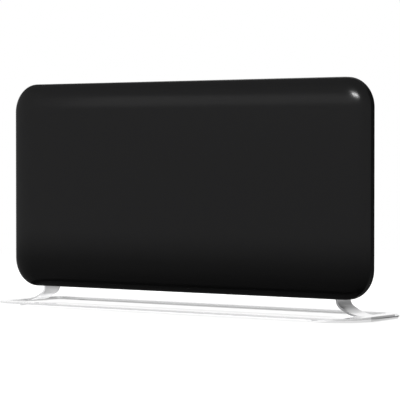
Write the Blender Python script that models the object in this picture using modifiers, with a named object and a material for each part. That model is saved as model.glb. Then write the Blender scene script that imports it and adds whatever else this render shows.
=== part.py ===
"""Panel heater: a crowned steel panel body with its heating element and controls, on a flat aluminium stand.

Metres, +Z up. The origin is on the floor, midway between the legs and midway across the stand's depth.
The front faces -Y. Right and left are as seen from the front, so the right is +X.
"""
import math

import bmesh
import bpy
from mathutils import Matrix, Vector

MM = 0.001

# Clearances
GAP = 0.3 * MM              # between two pieces that touch
SLIDE = 0.6 * MM            # round what is pushed through a sheet
BURY = 0.5 * MM             # how far a joined shape reaches into the one it is joined to

# Body as a whole
BODY_W = 892 * MM
BODY_H = 432 * MM
BODY_LIFT = 30 * MM         # from the stand's top face to the body's lower edge
CREST_Y = -26 * MM          # plane in which the front panel's edge is widest
BODY_CORNER = 59.5 * MM

# Front panel
FRONT_SHEET = 1.2 * MM
CROWN_W = 58 * MM           # how far in from the edge the front curves back
CROWN_D = 14 * MM           # how far it curves back
FLANGE = 13 * MM            # return flange behind the crest
TAB_W = 16 * MM             # screw tabs on the flange
TAB_REACH = 13 * MM

# Rear cover
PAN_SHEET = 1.0 * MM
PAN_SIDE = 46 * MM          # margin from the body's edge to the pan's wall, at the sides
PAN_TOP = 21.3 * MM
PAN_BOTTOM = 14.7 * MM
PAN_CORNER = 30 * MM
PAN_EDGE = 8 * MM           # rounding of the pan's back edge
PAN_DEPTH = 49.5 * MM       # from the pan's flange to its back face
FLANGE_INSET = 1.5 * MM     # the pan's flange lies this far inside the front panel's
VENT_L = 40 * MM
VENT_PITCH = 54 * MM
VENT_ROW_PITCH = 10 * MM
VENT_H = 4.5 * MM
VENT_COLUMNS = 11
VENT_ROWS = 3
BACK_VENT_ROWS = 4
BACK_VENT_DROP = 22 * MM    # from the pan's top to the first row behind

# Cover screws
SCREW_D = 3.0 * MM
SCREW_HEAD_D = 6.4 * MM
SCREW_HEAD_H = 2.2 * MM
SCREW_L = 9 * MM
COVER_SCREW_SPREAD_X = 200 * MM
COVER_SCREW_SPREAD_Z = 120 * MM

# Stand
PAD_T = 1.5 * MM
PAD_D = 14 * MM
PAD_INSET = 85 * MM         # from the stand's end
PLATE_T = 4 * MM
STAND_REACH = 4 * MM        # how far the stand's ends stand out past the body
STAND_D = 226 * MM
STAND_END_FLAT = 114 * MM   # straight part of each end, between its round corners
SIDE_BAR = 28 * MM          # front and back bars
END_BAR = 29 * MM
SLOT_END_FLAT = 138 * MM
LEG_W = 50 * MM
LEG_INSET = 34.3 * MM       # from the pan's side to the upright leg's inner face
LEG_RUN = 37.7 * MM         # the leg's slope, along X, between its two bends
LEG_RISE = 20.8 * MM        # and its rise
LOW_BEND = 80 * MM          # bend radii, to the middle of the sheet
HIGH_BEND = 18 * MM
LEG_INSIDE = 55 * MM        # how far the leg reaches up inside the pan
LEG_BOLT_D = 5 * MM
LEG_BOLT_SPREAD = 12 * MM
LEG_BOLT_DROP = 20 * MM     # from the leg's top

# Leg brackets
BRACKET_T = 2 * MM
BRACKET_FOOT = 20 * MM

# Heating element
ELEMENT_Z = 150 * MM
ELEMENT_Y = 0 * MM
FIN_T = 2.4 * MM
FIN_REACH = 28 * MM         # from the rod's axis to a wing's tip
CORE_D = 15 * MM
ROD_D = 8 * MM
FIN_SHORT = 13 * MM         # how far short of its brackets the extrusion ends
ROD_PAST = 19 * MM          # how far the rod runs past them
PIN_D = 2.5 * MM
PIN_L = 16 * MM
SLIT_W = 2 * MM
SLIT_COUNT = 26
SLIT_FLOOR = 11 * MM        # radius down to which the wings are slit
CAP_NECK_D = 14 * MM
CAP_FLANGE_D = 20 * MM
CAP_FLANGE_T = 4 * MM
CAP_L = 12 * MM
CARRIER_T = 1.2 * MM        # brackets that carry the element
CARRIER_H = 56 * MM
CARRIER_FOOT = 18 * MM
CARRIER_INSET = 82.7 * MM   # from the leg's inner face to an element bracket
SHIELD_T = 0.8 * MM
SHIELD_H = 96 * MM
SHIELD_LIP = 8 * MM
SHIELD_Y = -29.5 * MM

# Thermal cut-out
CUTOUT_D = 16 * MM
CUTOUT_H = 6 * MM
CUTOUT_INSET = 83 * MM      # from the element's bracket
CUTOUT_Z = 215 * MM
BLADE_W = 6.3 * MM
BLADE_T = 0.8 * MM
BLADE_L = 7 * MM

# Control plate, on the pan's right wall
PLATE_W = 40 * MM
PLATE_H = 126 * MM
CONTROL_T = 3 * MM
PLATE_CORNER = 6 * MM
CONTROL_Y = 9 * MM
CONTROL_Z = 180.5 * MM
OPENING_W = 31 * MM
OPENING_H = 105 * MM
PLATE_SCREW_SPREAD = 57.5 * MM

KNOB_Z = 214 * MM
KNOB_SKIRT_D = 32 * MM
KNOB_SKIRT_T = 4 * MM
KNOB_GRIP_D = 24 * MM
KNOB_H = 13 * MM
KNOB_RIB_W = 3 * MM
SHAFT_D = 6 * MM
SHAFT_L = 31 * MM
THERMOSTAT_W = 28 * MM
THERMOSTAT_H = 30 * MM
THERMOSTAT_L = 22 * MM

LENS_Z = 189.5 * MM
LENS_D = 6 * MM
LENS_RIM_D = 8 * MM
LENS_L = 10 * MM

POWER_Z = 168 * MM
HEAT_Z = 141.5 * MM
SWITCH_W = 13 * MM          # across, along Y
SWITCH_H = 19.4 * MM        # along Z
SWITCH_L = 24 * MM
BEZEL_W = 16 * MM
BEZEL_H = 22.4 * MM
BEZEL_T = 1.2 * MM
WELL_W = 10.6 * MM
WELL_H = 17.4 * MM
WELL_DEPTH = 11 * MM
ROCKER_W = 9.8 * MM
ROCKER_H = 15.6 * MM
ROCKER_PROUD = 2.6 * MM     # above the bezel at the rocker's ends
ROCKER_DISH = 1.4 * MM      # its face dips this much in the middle
ROCKER_T = 9.5 * MM
ROCKER_PIVOT = 4.5 * MM     # below the bezel's face
ROCKER_PIN_D = 2 * MM

# Tip-over switch
TIP_INSET = 125.7 * MM      # from the leg's inner face
TIP_Y = 10 * MM
TIP_Z = 105 * MM            # its pivot
TIP_W = 24 * MM
TIP_H = 44 * MM
TIP_ABOVE = 8 * MM
TIP_WALL = 1.6 * MM
TIP_PIN_D = 3 * MM
ARM_W = 5 * MM
ARM_L = 24 * MM
ARM_EYE_D = 8 * MM
BOB_D = 13 * MM
BOB_L = 14 * MM

# Terminal block and gland
BLOCK_INSET = 65.7 * MM     # from the leg's inner face
BLOCK_Z = 85 * MM
BLOCK_W = 36 * MM
BLOCK_D = 16 * MM
BLOCK_H = 18 * MM
POLE_PITCH = 11 * MM
POLE_D = 6 * MM
GLAND_INSET = 34.7 * MM     # from the leg's inner face
GLAND_Z = 68 * MM
GLAND_D = 12 * MM
GLAND_COLLAR_D = 17 * MM
GLAND_BORE_D = 7.5 * MM
GLAND_OUTSIDE = 12 * MM
GLAND_INSIDE = 10 * MM
NUT_D = 16 * MM
NUT_T = 4 * MM

LEAD_D = 2.2 * MM

# Places that follow from the sizes
PLATE_Z = PAD_T + GAP
PLATE_TOP = PLATE_Z + PLATE_T
BODY_Z = PLATE_TOP + BODY_LIFT
BODY_MID = BODY_Z + BODY_H / 2
FLANGE_END = CREST_Y + FLANGE
PAN_FRONT = FLANGE_END - FLANGE_INSET - PAN_SHEET
PAN_BACK = PAN_FRONT + PAN_DEPTH
PAN_INNER_BACK = PAN_BACK - PAN_SHEET
PAN_W = BODY_W - 2 * PAN_SIDE
PAN_Z = BODY_Z + PAN_BOTTOM
PAN_H = BODY_H - PAN_BOTTOM - PAN_TOP
PAN_MID = PAN_Z + PAN_H / 2
SEAT_Y = PAN_INNER_BACK - GAP
STAND_L = BODY_W + 2 * STAND_REACH
STAND_CORNER = (STAND_D - STAND_END_FLAT) / 2
SLOT_CORNER = (STAND_D - 2 * SIDE_BAR - SLOT_END_FLAT) / 2
PAD_SPREAD_X = STAND_L / 2 - PAD_INSET
LEG_X = PAN_W / 2 - LEG_INSET
CARRIER_X = LEG_X - CARRIER_INSET
FIN_L = 2 * (CARRIER_X - FIN_SHORT)
ROD_L = 2 * (CARRIER_X + ROD_PAST)
CUTOUT_X = CARRIER_X - CUTOUT_INSET
TIP_X = LEG_X - TIP_INSET
BLOCK_X = LEG_X - BLOCK_INSET
GLAND_X = LEG_X - GLAND_INSET
LEG_MID = LEG_X + PLATE_T / 2
LEG_TOP = PAN_Z + LEG_INSIDE
PLATE_MID = PLATE_Z + PLATE_T / 2
PLATE_X = PAN_W / 2 + GAP
PLATE_FACE = PLATE_X + CONTROL_T
BEZEL_FACE = PLATE_FACE + GAP + BEZEL_T

COLOURS = {
    "black_lacquer": ((0.012, 0.012, 0.013), 0.12, 0.0),
    "black_coat": ((0.02, 0.02, 0.021), 0.5, 0.0),
    "stand_aluminium": ((0.78, 0.78, 0.79), 0.3, 1.0),
    "fin_aluminium": ((0.66, 0.67, 0.68), 0.4, 1.0),
    "zinc_steel": ((0.58, 0.58, 0.6), 0.35, 1.0),
    "ceramic": ((0.82, 0.79, 0.72), 0.45, 0.0),
    "black_plastic": ((0.025, 0.025, 0.027), 0.4, 0.0),
    "pale_plastic": ((0.75, 0.74, 0.7), 0.45, 0.0),
    "clear_rubber": ((0.75, 0.76, 0.76), 0.6, 0.0),
    "red_lens": ((0.55, 0.03, 0.02), 0.1, 0.0),
    "brass": ((0.7, 0.55, 0.28), 0.3, 1.0),
    "live_sleeve": ((0.22, 0.1, 0.05), 0.5, 0.0),
    "neutral_sleeve": ((0.06, 0.14, 0.4), 0.5, 0.0),
}


def clear_scene():
    for thing in list(bpy.data.objects):
        bpy.data.objects.remove(thing, do_unlink=True)


def collection(name):
    made = bpy.data.collections.new(name)
    bpy.context.scene.collection.children.link(made)
    return made


clear_scene()
HEATER = collection("panel_heater")
CUTTERS = collection("cutters")


def material(name):
    """The named finish, made once."""
    found = bpy.data.materials.get(name)
    if found:
        return found
    colour, roughness, metallic = COLOURS[name]
    made = bpy.data.materials.new(name)
    made.use_nodes = True
    shader = made.node_tree.nodes["Principled BSDF"]
    shader.inputs["Base Color"].default_value = (*colour, 1.0)
    shader.inputs["Roughness"].default_value = roughness
    shader.inputs["Metallic"].default_value = metallic
    made.diffuse_color = (*colour, 1.0)
    return made


def piece(name, mesh, finish, location=(0, 0, 0), turn=None, parent=None):
    """Puts a mesh or curve into the heater as one named sub-part."""
    made = bpy.data.objects.new(name, mesh)
    HEATER.objects.link(made)
    mesh.materials.clear()
    mesh.materials.append(material(finish))
    made.location = location
    if turn is not None:
        made.rotation_euler = turn.to_euler()
    if parent is not None:
        made.parent = parent
    return made


def tool(name, mesh, location=(0, 0, 0), turn=None):
    """A shape that only cuts or joins others."""
    made = bpy.data.objects.new(name, mesh)
    CUTTERS.objects.link(made)
    made.location = location
    if turn is not None:
        made.rotation_euler = turn.to_euler()
    made.hide_render = True
    made.display_type = "WIRE"
    return made


def combine(target, other, operation):
    step = target.modifiers.new(other.name, "BOOLEAN")
    step.operation = operation
    step.object = other
    step.solver = "EXACT"


def cut(target, other):
    combine(target, other, "DIFFERENCE")


def join(target, other):
    combine(target, other, "UNION")


def smooth(mesh, angle=35):
    mesh.shade_smooth()
    mesh.set_sharp_from_angle(angle=math.radians(angle))
    return mesh


def mesh_of(name, bm):
    bmesh.ops.recalc_face_normals(bm, faces=bm.faces)
    mesh = bpy.data.meshes.new(name)
    bm.to_mesh(mesh)
    bm.free()
    return mesh


def boxes(name, blocks):
    """One mesh of boxes, each given as (centre, size)."""
    bm = bmesh.new()
    for centre, size in blocks:
        matrix = Matrix.Translation(centre) @ Matrix.Diagonal((*size, 1.0))
        bmesh.ops.create_cube(bm, size=1.0, matrix=matrix)
    return mesh_of(name, bm)


TO_X = Matrix.Rotation(math.radians(90), 4, "Y")      # turns local Z to +X
TO_Y = Matrix.Rotation(math.radians(-90), 4, "X")     # turns local Z to +Y
UPRIGHT = Matrix.Rotation(math.radians(90), 4, "X")   # turns local XY to world XZ, local Z to -Y
SIDEWAYS = UPRIGHT.copy()
SIDEWAYS = Matrix.Rotation(math.radians(90), 4, "Z") @ SIDEWAYS   # local XY to world YZ, local Z to +X


def rods(name, parts, segments=16):
    """One mesh of cylinders, each given as (centre, direction, diameter, length)."""
    bm = bmesh.new()
    for centre, direction, diameter, length in parts:
        turn = Vector(direction).to_track_quat("Z", "Y").to_matrix().to_4x4()
        bmesh.ops.create_cone(bm, cap_ends=True, segments=segments, radius1=diameter / 2, radius2=diameter / 2,
                              depth=length, matrix=Matrix.Translation(centre) @ turn)
    return smooth(mesh_of(name, bm))


def arc_points(centre, radius, start, end, steps):
    return [(centre[0] + radius * math.cos(start + (end - start) * i / steps),
             centre[1] + radius * math.sin(start + (end - start) * i / steps)) for i in range(steps + 1)]


def rounded_rectangle(width, height, radius, steps=8, centre=(0, 0)):
    """Points of a rounded rectangle, counter-clockwise."""
    points = []
    quarter = math.pi / 2
    corners = ((1, 1), (-1, 1), (-1, -1), (1, -1))
    for number, (sx, sy) in enumerate(corners):
        middle = (centre[0] + sx * (width / 2 - radius), centre[1] + sy * (height / 2 - radius))
        points += arc_points(middle, radius, number * quarter, (number + 1) * quarter, steps)
    return points


def circle(diameter, steps=20, centre=(0, 0)):
    return arc_points(centre, diameter / 2, 0, 2 * math.pi, steps)[:-1]


def plate(name, outlines, thickness):
    """A flat plate: its outline, then its holes, as one mesh in its own XY plane."""
    curve = bpy.data.curves.new(name, "CURVE")
    curve.dimensions = "2D"
    curve.fill_mode = "BOTH"
    curve.extrude = thickness / 2
    for outline in outlines:
        spline = curve.splines.new("POLY")
        spline.points.add(len(outline) - 1)
        for point, (x, y) in zip(spline.points, outline):
            point.co = (x, y, 0, 1)
        spline.use_cyclic_u = True
    holder = bpy.data.objects.new(name, curve)
    bpy.context.scene.collection.objects.link(holder)
    graph = bpy.context.evaluated_depsgraph_get()
    mesh = bpy.data.meshes.new_from_object(holder.evaluated_get(graph))
    bpy.data.objects.remove(holder)
    bpy.data.curves.remove(curve)
    bm = bmesh.new()
    bm.from_mesh(mesh)
    bmesh.ops.remove_doubles(bm, verts=bm.verts, dist=0.00001)
    bmesh.ops.dissolve_limit(bm, angle_limit=math.radians(0.5), verts=bm.verts, edges=bm.edges)
    bmesh.ops.recalc_face_normals(bm, faces=bm.faces)
    bm.to_mesh(mesh)
    bm.free()
    return smooth(mesh)


def turned(name, profile, closed=False, steps=24):
    """A shape turned about its Z axis from (radius, height) points, listed down the outer side."""
    mesh = bpy.data.meshes.new(name)
    edges = [(i, i + 1) for i in range(len(profile) - 1)]
    if closed:
        edges.append((len(profile) - 1, 0))
    mesh.from_pydata([(r, 0, h) for r, h in profile], edges, [])
    holder = bpy.data.objects.new(name, mesh)
    bpy.context.scene.collection.objects.link(holder)
    screw = holder.modifiers.new("turn", "SCREW")
    screw.steps = steps
    screw.render_steps = steps
    screw.use_merge_vertices = True
    screw.merge_threshold = 0.00005
    graph = bpy.context.evaluated_depsgraph_get()
    result = bpy.data.meshes.new_from_object(holder.evaluated_get(graph))
    bpy.data.objects.remove(holder)
    bpy.data.meshes.remove(mesh)
    return smooth(result)


def dished_sheet(name, width, height, corner, edge_width, edge_rise, skirt, facing, rings):
    """A pressed sheet: a rounded rectangle whose edge curves back into a skirt. facing is -1 for -Y, 1 for +Y.

    Its own origin is at its middle, in the plane where the skirt begins.
    """
    bm = bmesh.new()
    rim = [bm.verts.new((x, 0, z)) for x, z in rounded_rectangle(width, height, corner, 10)]
    face = bm.faces.new(rim)
    face.normal_update()
    if face.normal.y * facing < 0:
        face.normal_flip()
    inset = rise = 0.0
    for ring in range(1, rings + 1):
        angle = math.pi / 2 * ring / rings
        new_inset = edge_width * (1 - math.cos(angle))
        new_rise = edge_rise * math.sin(angle)
        bmesh.ops.inset_region(bm, faces=[face], thickness=new_inset - inset, depth=new_rise - rise,
                               use_even_offset=True, use_boundary=True)
        inset, rise = new_inset, new_rise
    wall = bmesh.ops.extrude_edge_only(bm, edges=[e for e in bm.edges if e.is_boundary])
    moved = [v for v in wall["geom"] if isinstance(v, bmesh.types.BMVert)]
    bmesh.ops.translate(bm, verts=moved, vec=(0, -facing * skirt, 0))
    bmesh.ops.recalc_face_normals(bm, faces=bm.faces)
    if face.normal.y * facing < 0:
        bmesh.ops.reverse_faces(bm, faces=bm.faces)
    mesh = bpy.data.meshes.new(name)
    bm.to_mesh(mesh)
    bm.free()
    return smooth(mesh)


def thicken(target, thickness):
    step = target.modifiers.new("sheet", "SOLIDIFY")
    step.thickness = thickness
    step.offset = -1
    step.use_even_offset = True


def cover_screw_places():
    """(x, z, inward direction) of each screw that holds the pan to the front panel's tabs."""
    side = BODY_W / 2 - FRONT_SHEET - TAB_REACH / 2
    top = BODY_H / 2 - FRONT_SHEET - TAB_REACH / 2
    places = []
    for sign in (-1, 1):
        for z in (-COVER_SCREW_SPREAD_Z, COVER_SCREW_SPREAD_Z):
            places.append((sign * side, BODY_MID + z, (1, 0)))
        for x in (-COVER_SCREW_SPREAD_X, COVER_SCREW_SPREAD_X):
            places.append((x, BODY_MID + sign * top, (0, 1)))
    return places


def leg_notches(name):
    """What the two legs need to pass through the front panel's flange and the pan's bottom."""
    width = PLATE_T + 2 * SLIDE
    depth = LEG_W + 2 * SLIDE
    low = BODY_Z - 5 * MM
    high = PAN_Z + 2 * PAN_SHEET
    return boxes(name, [((sign * LEG_MID, 0, (low + high) / 2), (width, depth, high - low)) for sign in (-1, 1)])


def front_panel():
    """Pressed steel front: crowned face, return flange, and tabs for the cover screws."""
    mesh = dished_sheet("front_panel", BODY_W, BODY_H, BODY_CORNER, CROWN_W, CROWN_D, FLANGE, -1, 9)
    panel = piece("front_panel", mesh, "black_lacquer", (0, CREST_Y, BODY_MID))
    thicken(panel, FRONT_SHEET)

    tab_y = PAN_FRONT - GAP - FRONT_SHEET / 2
    tabs = []
    holes = []
    for x, z, (across, up) in cover_screw_places():
        size = (TAB_REACH + BURY if across else TAB_W, FRONT_SHEET, TAB_REACH + BURY if up else TAB_W)
        outward = Vector((across * math.copysign(BURY / 2, x), 0, up * math.copysign(BURY / 2, z - BODY_MID)))
        tabs.append((Vector((x, tab_y, z)) + outward, size))
        holes.append(((x, tab_y, z), (0, 1, 0), SCREW_D + 2 * GAP, 4 * FRONT_SHEET))
    join(panel, tool("front_tabs", boxes("front_tabs", tabs)))
    cut(panel, tool("front_tab_holes", rods("front_tab_holes", holes)))
    cut(panel, tool("front_leg_notches", leg_notches("front_leg_notches")))


def vent_blocks():
    """Air slots of the pan: below, above, and near the top of its back."""
    blocks = []
    middle_y = (PAN_FRONT + PAN_BACK) / 2
    deep = 6 * PAN_SHEET
    for column in range(VENT_COLUMNS):
        x = (column - (VENT_COLUMNS - 1) / 2) * VENT_PITCH
        for row in range(VENT_ROWS):
            y = middle_y + (row - (VENT_ROWS - 1) / 2) * VENT_ROW_PITCH
            for z in (PAN_Z, PAN_Z + PAN_H):
                blocks.append(((x, y, z), (VENT_L, VENT_H, deep)))
        for row in range(BACK_VENT_ROWS):
            z = PAN_Z + PAN_H - BACK_VENT_DROP - row * VENT_ROW_PITCH
            blocks.append(((x, PAN_BACK, z), (VENT_L, deep, VENT_H)))
    return blocks


def rear_cover():
    """Folded steel pan with a flat flange all round."""
    wall = PAN_DEPTH - PAN_EDGE - PAN_SHEET / 2
    mesh = dished_sheet("rear_cover", PAN_W, PAN_H, PAN_CORNER, PAN_EDGE, PAN_EDGE, wall, 1, 4)
    pan = piece("rear_cover", mesh, "black_coat", (0, PAN_BACK - PAN_EDGE, PAN_MID))
    thicken(pan, PAN_SHEET)

    room = 2 * (FRONT_SHEET + GAP)
    outer = rounded_rectangle(BODY_W - room, BODY_H - room, BODY_CORNER - room / 2, 10)
    inner = rounded_rectangle(PAN_W - PAN_SHEET, PAN_H - PAN_SHEET, PAN_CORNER - PAN_SHEET, 9,
                              (0, PAN_MID - BODY_MID))
    rim = plate("pan_flange", [outer, inner], PAN_SHEET)
    join(pan, tool("pan_flange", rim, (0, PAN_FRONT + PAN_SHEET / 2, BODY_MID), UPRIGHT))

    cut(pan, tool("pan_vents", boxes("pan_vents", vent_blocks())))
    cut(pan, tool("pan_leg_notches", leg_notches("pan_leg_notches")))
    opening = (PAN_W / 2, CONTROL_Y, CONTROL_Z)
    cut(pan, tool("control_opening", boxes("control_opening", [(opening, (8 * PAN_SHEET, OPENING_W, OPENING_H))])))

    holes = [((x, PAN_FRONT, z), (0, 1, 0), SCREW_D + 2 * GAP, 6 * PAN_SHEET) for x, z, _ in cover_screw_places()]
    holes += [((x, PAN_INNER_BACK, z), (0, 1, 0), SCREW_D + 2 * GAP, 6 * PAN_SHEET) for x, z in element_screw_places()]
    for z in plate_screw_heights():
        holes.append(((PAN_W / 2, CONTROL_Y, z), (1, 0, 0), SCREW_D + 2 * GAP, 6 * PAN_SHEET))
    holes.append(((GLAND_X, PAN_BACK, GLAND_Z), (0, 1, 0), GLAND_D + 2 * GAP, 6 * PAN_SHEET))
    cut(pan, tool("pan_holes", rods("pan_holes", holes, 20)))


def screw(name, location, turn, length, finish="zinc_steel"):
    """Pan-head screw. Its head's underside is at its origin, and its shank runs down local -Z."""
    head = SCREW_HEAD_D / 2
    shank = SCREW_D / 2
    profile = [(0, SCREW_HEAD_H), (head * 0.7, SCREW_HEAD_H), (head, SCREW_HEAD_H * 0.45), (head, 0), (shank, 0),
               (shank, -length), (0, -length)]
    made = piece(name, turned(name, profile, steps=16), finish, location, turn)
    return made


def cover_screws():
    head_y = PAN_FRONT + PAN_SHEET + GAP
    for number, (x, z, _) in enumerate(cover_screw_places(), 1):
        screw(f"cover_screw_{number}", (x, head_y, z), TO_Y, SCREW_L)


def element_screw_places():
    """(x, z) of the screws that hold the element's brackets to the pan's back."""
    reach = CARRIER_H / 2 - 10 * MM
    foot = CARRIER_X + CARRIER_FOOT / 2
    return [(sx * foot, ELEMENT_Z + sz * reach) for sx in (-1, 1) for sz in (-1, 1)]


def element():
    """Finned aluminium extrusion on a tubular rod, with a ceramic cap at each end."""
    wing = FIN_T / 2
    core = CORE_D / 2
    lean = math.asin(wing / core)
    outline = []
    for number in range(4):
        middle = math.radians(45 + 90 * number)
        along = Vector((math.cos(middle), math.sin(middle)))
        across = Vector((-along.y, along.x))
        outline.append(tuple(along * FIN_REACH - across * wing))
        outline.append(tuple(along * FIN_REACH + across * wing))
        outline += arc_points((0, 0), core, middle + lean, middle + math.pi / 2 - lean, 4)
    bore = circle(ROD_D + 2 * GAP, 20)
    mesh = plate("element_fins", [outline, bore], FIN_L)
    fins = piece("element_fins", mesh, "fin_aluminium", (0, ELEMENT_Y, ELEMENT_Z), SIDEWAYS)

    washer = plate("fin_slits", [circle(2.4 * FIN_REACH, 12), circle(2 * SLIT_FLOOR, 12)], SLIT_W)
    slits = bmesh.new()
    pitch = FIN_L / (SLIT_COUNT + 1)
    for number in range(SLIT_COUNT):
        step = bmesh.new()
        step.from_mesh(washer)
        bmesh.ops.translate(step, verts=step.verts, vec=(0, 0, (number - (SLIT_COUNT - 1) / 2) * pitch))
        moved = bpy.data.meshes.new("fin_slit")
        step.to_mesh(moved)
        step.free()
        slits.from_mesh(moved)
        bpy.data.meshes.remove(moved)
    cut(fins, tool("fin_slits", mesh_of("fin_slits", slits), (0, ELEMENT_Y, ELEMENT_Z), SIDEWAYS))

    half = ROD_L / 2
    profile = [(0, half + PIN_L), (PIN_D / 2, half + PIN_L), (PIN_D / 2, half), (ROD_D / 2, half),
               (ROD_D / 2, -half), (PIN_D / 2, -half), (PIN_D / 2, -half - PIN_L), (0, -half - PIN_L)]
    piece("element_rod", turned("element_rod", profile), "zinc_steel", (0, ELEMENT_Y, ELEMENT_Z), TO_X)

    inner = ROD_D / 2 + GAP
    neck = CAP_NECK_D / 2
    wide = CAP_FLANGE_D / 2
    profile = [(inner, CAP_L), (neck, CAP_L), (neck, CAP_FLANGE_T), (wide, CAP_FLANGE_T), (wide, 0), (inner, 0)]
    shoulder = CARRIER_X - GAP - CAP_FLANGE_T
    for side, sign in (("left", -1), ("right", 1)):
        turn = TO_X if sign > 0 else Matrix.Rotation(math.pi, 4, "Z") @ TO_X
        piece(f"element_cap_{side}", turned("element_cap", profile, closed=True), "ceramic",
              (sign * shoulder, ELEMENT_Y, ELEMENT_Z), turn)


def element_brackets():
    """Sheet brackets from the pan's back to the heat shield, each with a foot at either end."""
    front = SHIELD_Y + SHIELD_T / 2 + GAP
    depth = SEAT_Y - front
    for side, sign in (("left", -1), ("right", 1)):
        name = f"element_bracket_{side}"
        web = ((sign * (CARRIER_X + CARRIER_T / 2), (front + SEAT_Y) / 2, ELEMENT_Z), (CARRIER_T, depth, CARRIER_H))
        bracket = piece(name, boxes(name, [((0, 0, 0), web[1])]), "zinc_steel", web[0])
        foot_x = sign * (CARRIER_X + CARRIER_FOOT / 2)
        size = (CARRIER_FOOT, CARRIER_T, CARRIER_H - 2 * GAP)
        feet = [((foot_x, SEAT_Y - CARRIER_T / 2, ELEMENT_Z), size)]
        feet.append(((foot_x, front + CARRIER_T / 2, ELEMENT_Z), size))
        join(bracket, tool(f"{name}_feet", boxes(f"{name}_feet", feet)))
        neck = [((sign * CARRIER_X, ELEMENT_Y, ELEMENT_Z), (1, 0, 0), CAP_NECK_D + 2 * GAP, 8 * CARRIER_T)]
        neck += [((x, SEAT_Y, z), (0, 1, 0), SCREW_D + 2 * GAP, 6 * CARRIER_T) for x, z in element_screw_places()
                 if x * sign > 0]
        cut(bracket, tool(f"{name}_holes", rods(f"{name}_holes", neck, 20)))
    for number, (x, z) in enumerate(element_screw_places(), 1):
        screw(f"element_screw_{number}", (x, PAN_BACK + GAP, z), TO_Y, 6 * MM)


def heat_shield():
    """Sheet between the element and the front panel, with lips turned back to stiffen it."""
    length = 2 * (CARRIER_X + CARRIER_FOOT)
    outer = SHIELD_H / 2
    lip = SHIELD_T / 2 + SHIELD_LIP
    half = SHIELD_T / 2
    outline = [(-half, -outer), (lip, -outer), (lip, -outer + SHIELD_T), (half, -outer + SHIELD_T),
               (half, outer - SHIELD_T), (lip, outer - SHIELD_T), (lip, outer), (-half, outer)]
    piece("heat_shield", plate("heat_shield", [outline], length), "fin_aluminium", (0, SHIELD_Y, ELEMENT_Z), SIDEWAYS)


def thermal_cutout():
    """Snap disc on the pan's back wall, above the element, with two blades."""
    middle = (CUTOUT_X, SEAT_Y - CUTOUT_H / 2, CUTOUT_Z)
    disc = rods("thermal_cutout", [((0, 0, 0), (0, 1, 0), CUTOUT_D, CUTOUT_H)], 20)
    body = piece("thermal_cutout", disc, "pale_plastic", middle)
    blades = []
    for sign in (-1, 1):
        reach = CUTOUT_D / 2 + BLADE_L
        blades.append(((CUTOUT_X + sign * reach / 2, middle[1] - 1 * MM, CUTOUT_Z), (reach, BLADE_T, BLADE_W)))
    join(body, tool("cutout_blades", boxes("cutout_blades", blades)))


def plate_screw_heights():
    return (CONTROL_Z - PLATE_SCREW_SPREAD, CONTROL_Z + PLATE_SCREW_SPREAD)


def control_plate():
    """Moulded plate on the pan's right wall that holds the knob, the switches and the lamp."""
    outline = rounded_rectangle(PLATE_W, PLATE_H, PLATE_CORNER, 5)
    mesh = plate("control_plate", [outline], CONTROL_T)
    face = piece("control_plate", mesh, "black_plastic", (PLATE_X + CONTROL_T / 2, CONTROL_Y, CONTROL_Z), SIDEWAYS)
    holes = [((PLATE_X, CONTROL_Y, KNOB_Z), (1, 0, 0), SHAFT_D + 2 * GAP, 6 * CONTROL_T),
             ((PLATE_X, CONTROL_Y, LENS_Z), (1, 0, 0), LENS_D + 2 * GAP, 6 * CONTROL_T)]
    holes += [((PLATE_X, CONTROL_Y, z), (1, 0, 0), SCREW_D + 2 * GAP, 6 * CONTROL_T) for z in plate_screw_heights()]
    cut(face, tool("control_holes", rods("control_holes", holes, 20)))
    windows = [((PLATE_X, CONTROL_Y, z), (6 * CONTROL_T, SWITCH_W + 2 * GAP, SWITCH_H + 2 * GAP))
               for z in (POWER_Z, HEAT_Z)]
    cut(face, tool("control_windows", boxes("control_windows", windows)))
    for number, z in enumerate(plate_screw_heights(), 1):
        screw(f"plate_screw_{number}", (PLATE_FACE + GAP, CONTROL_Y, z), TO_X, 8 * MM)


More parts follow.
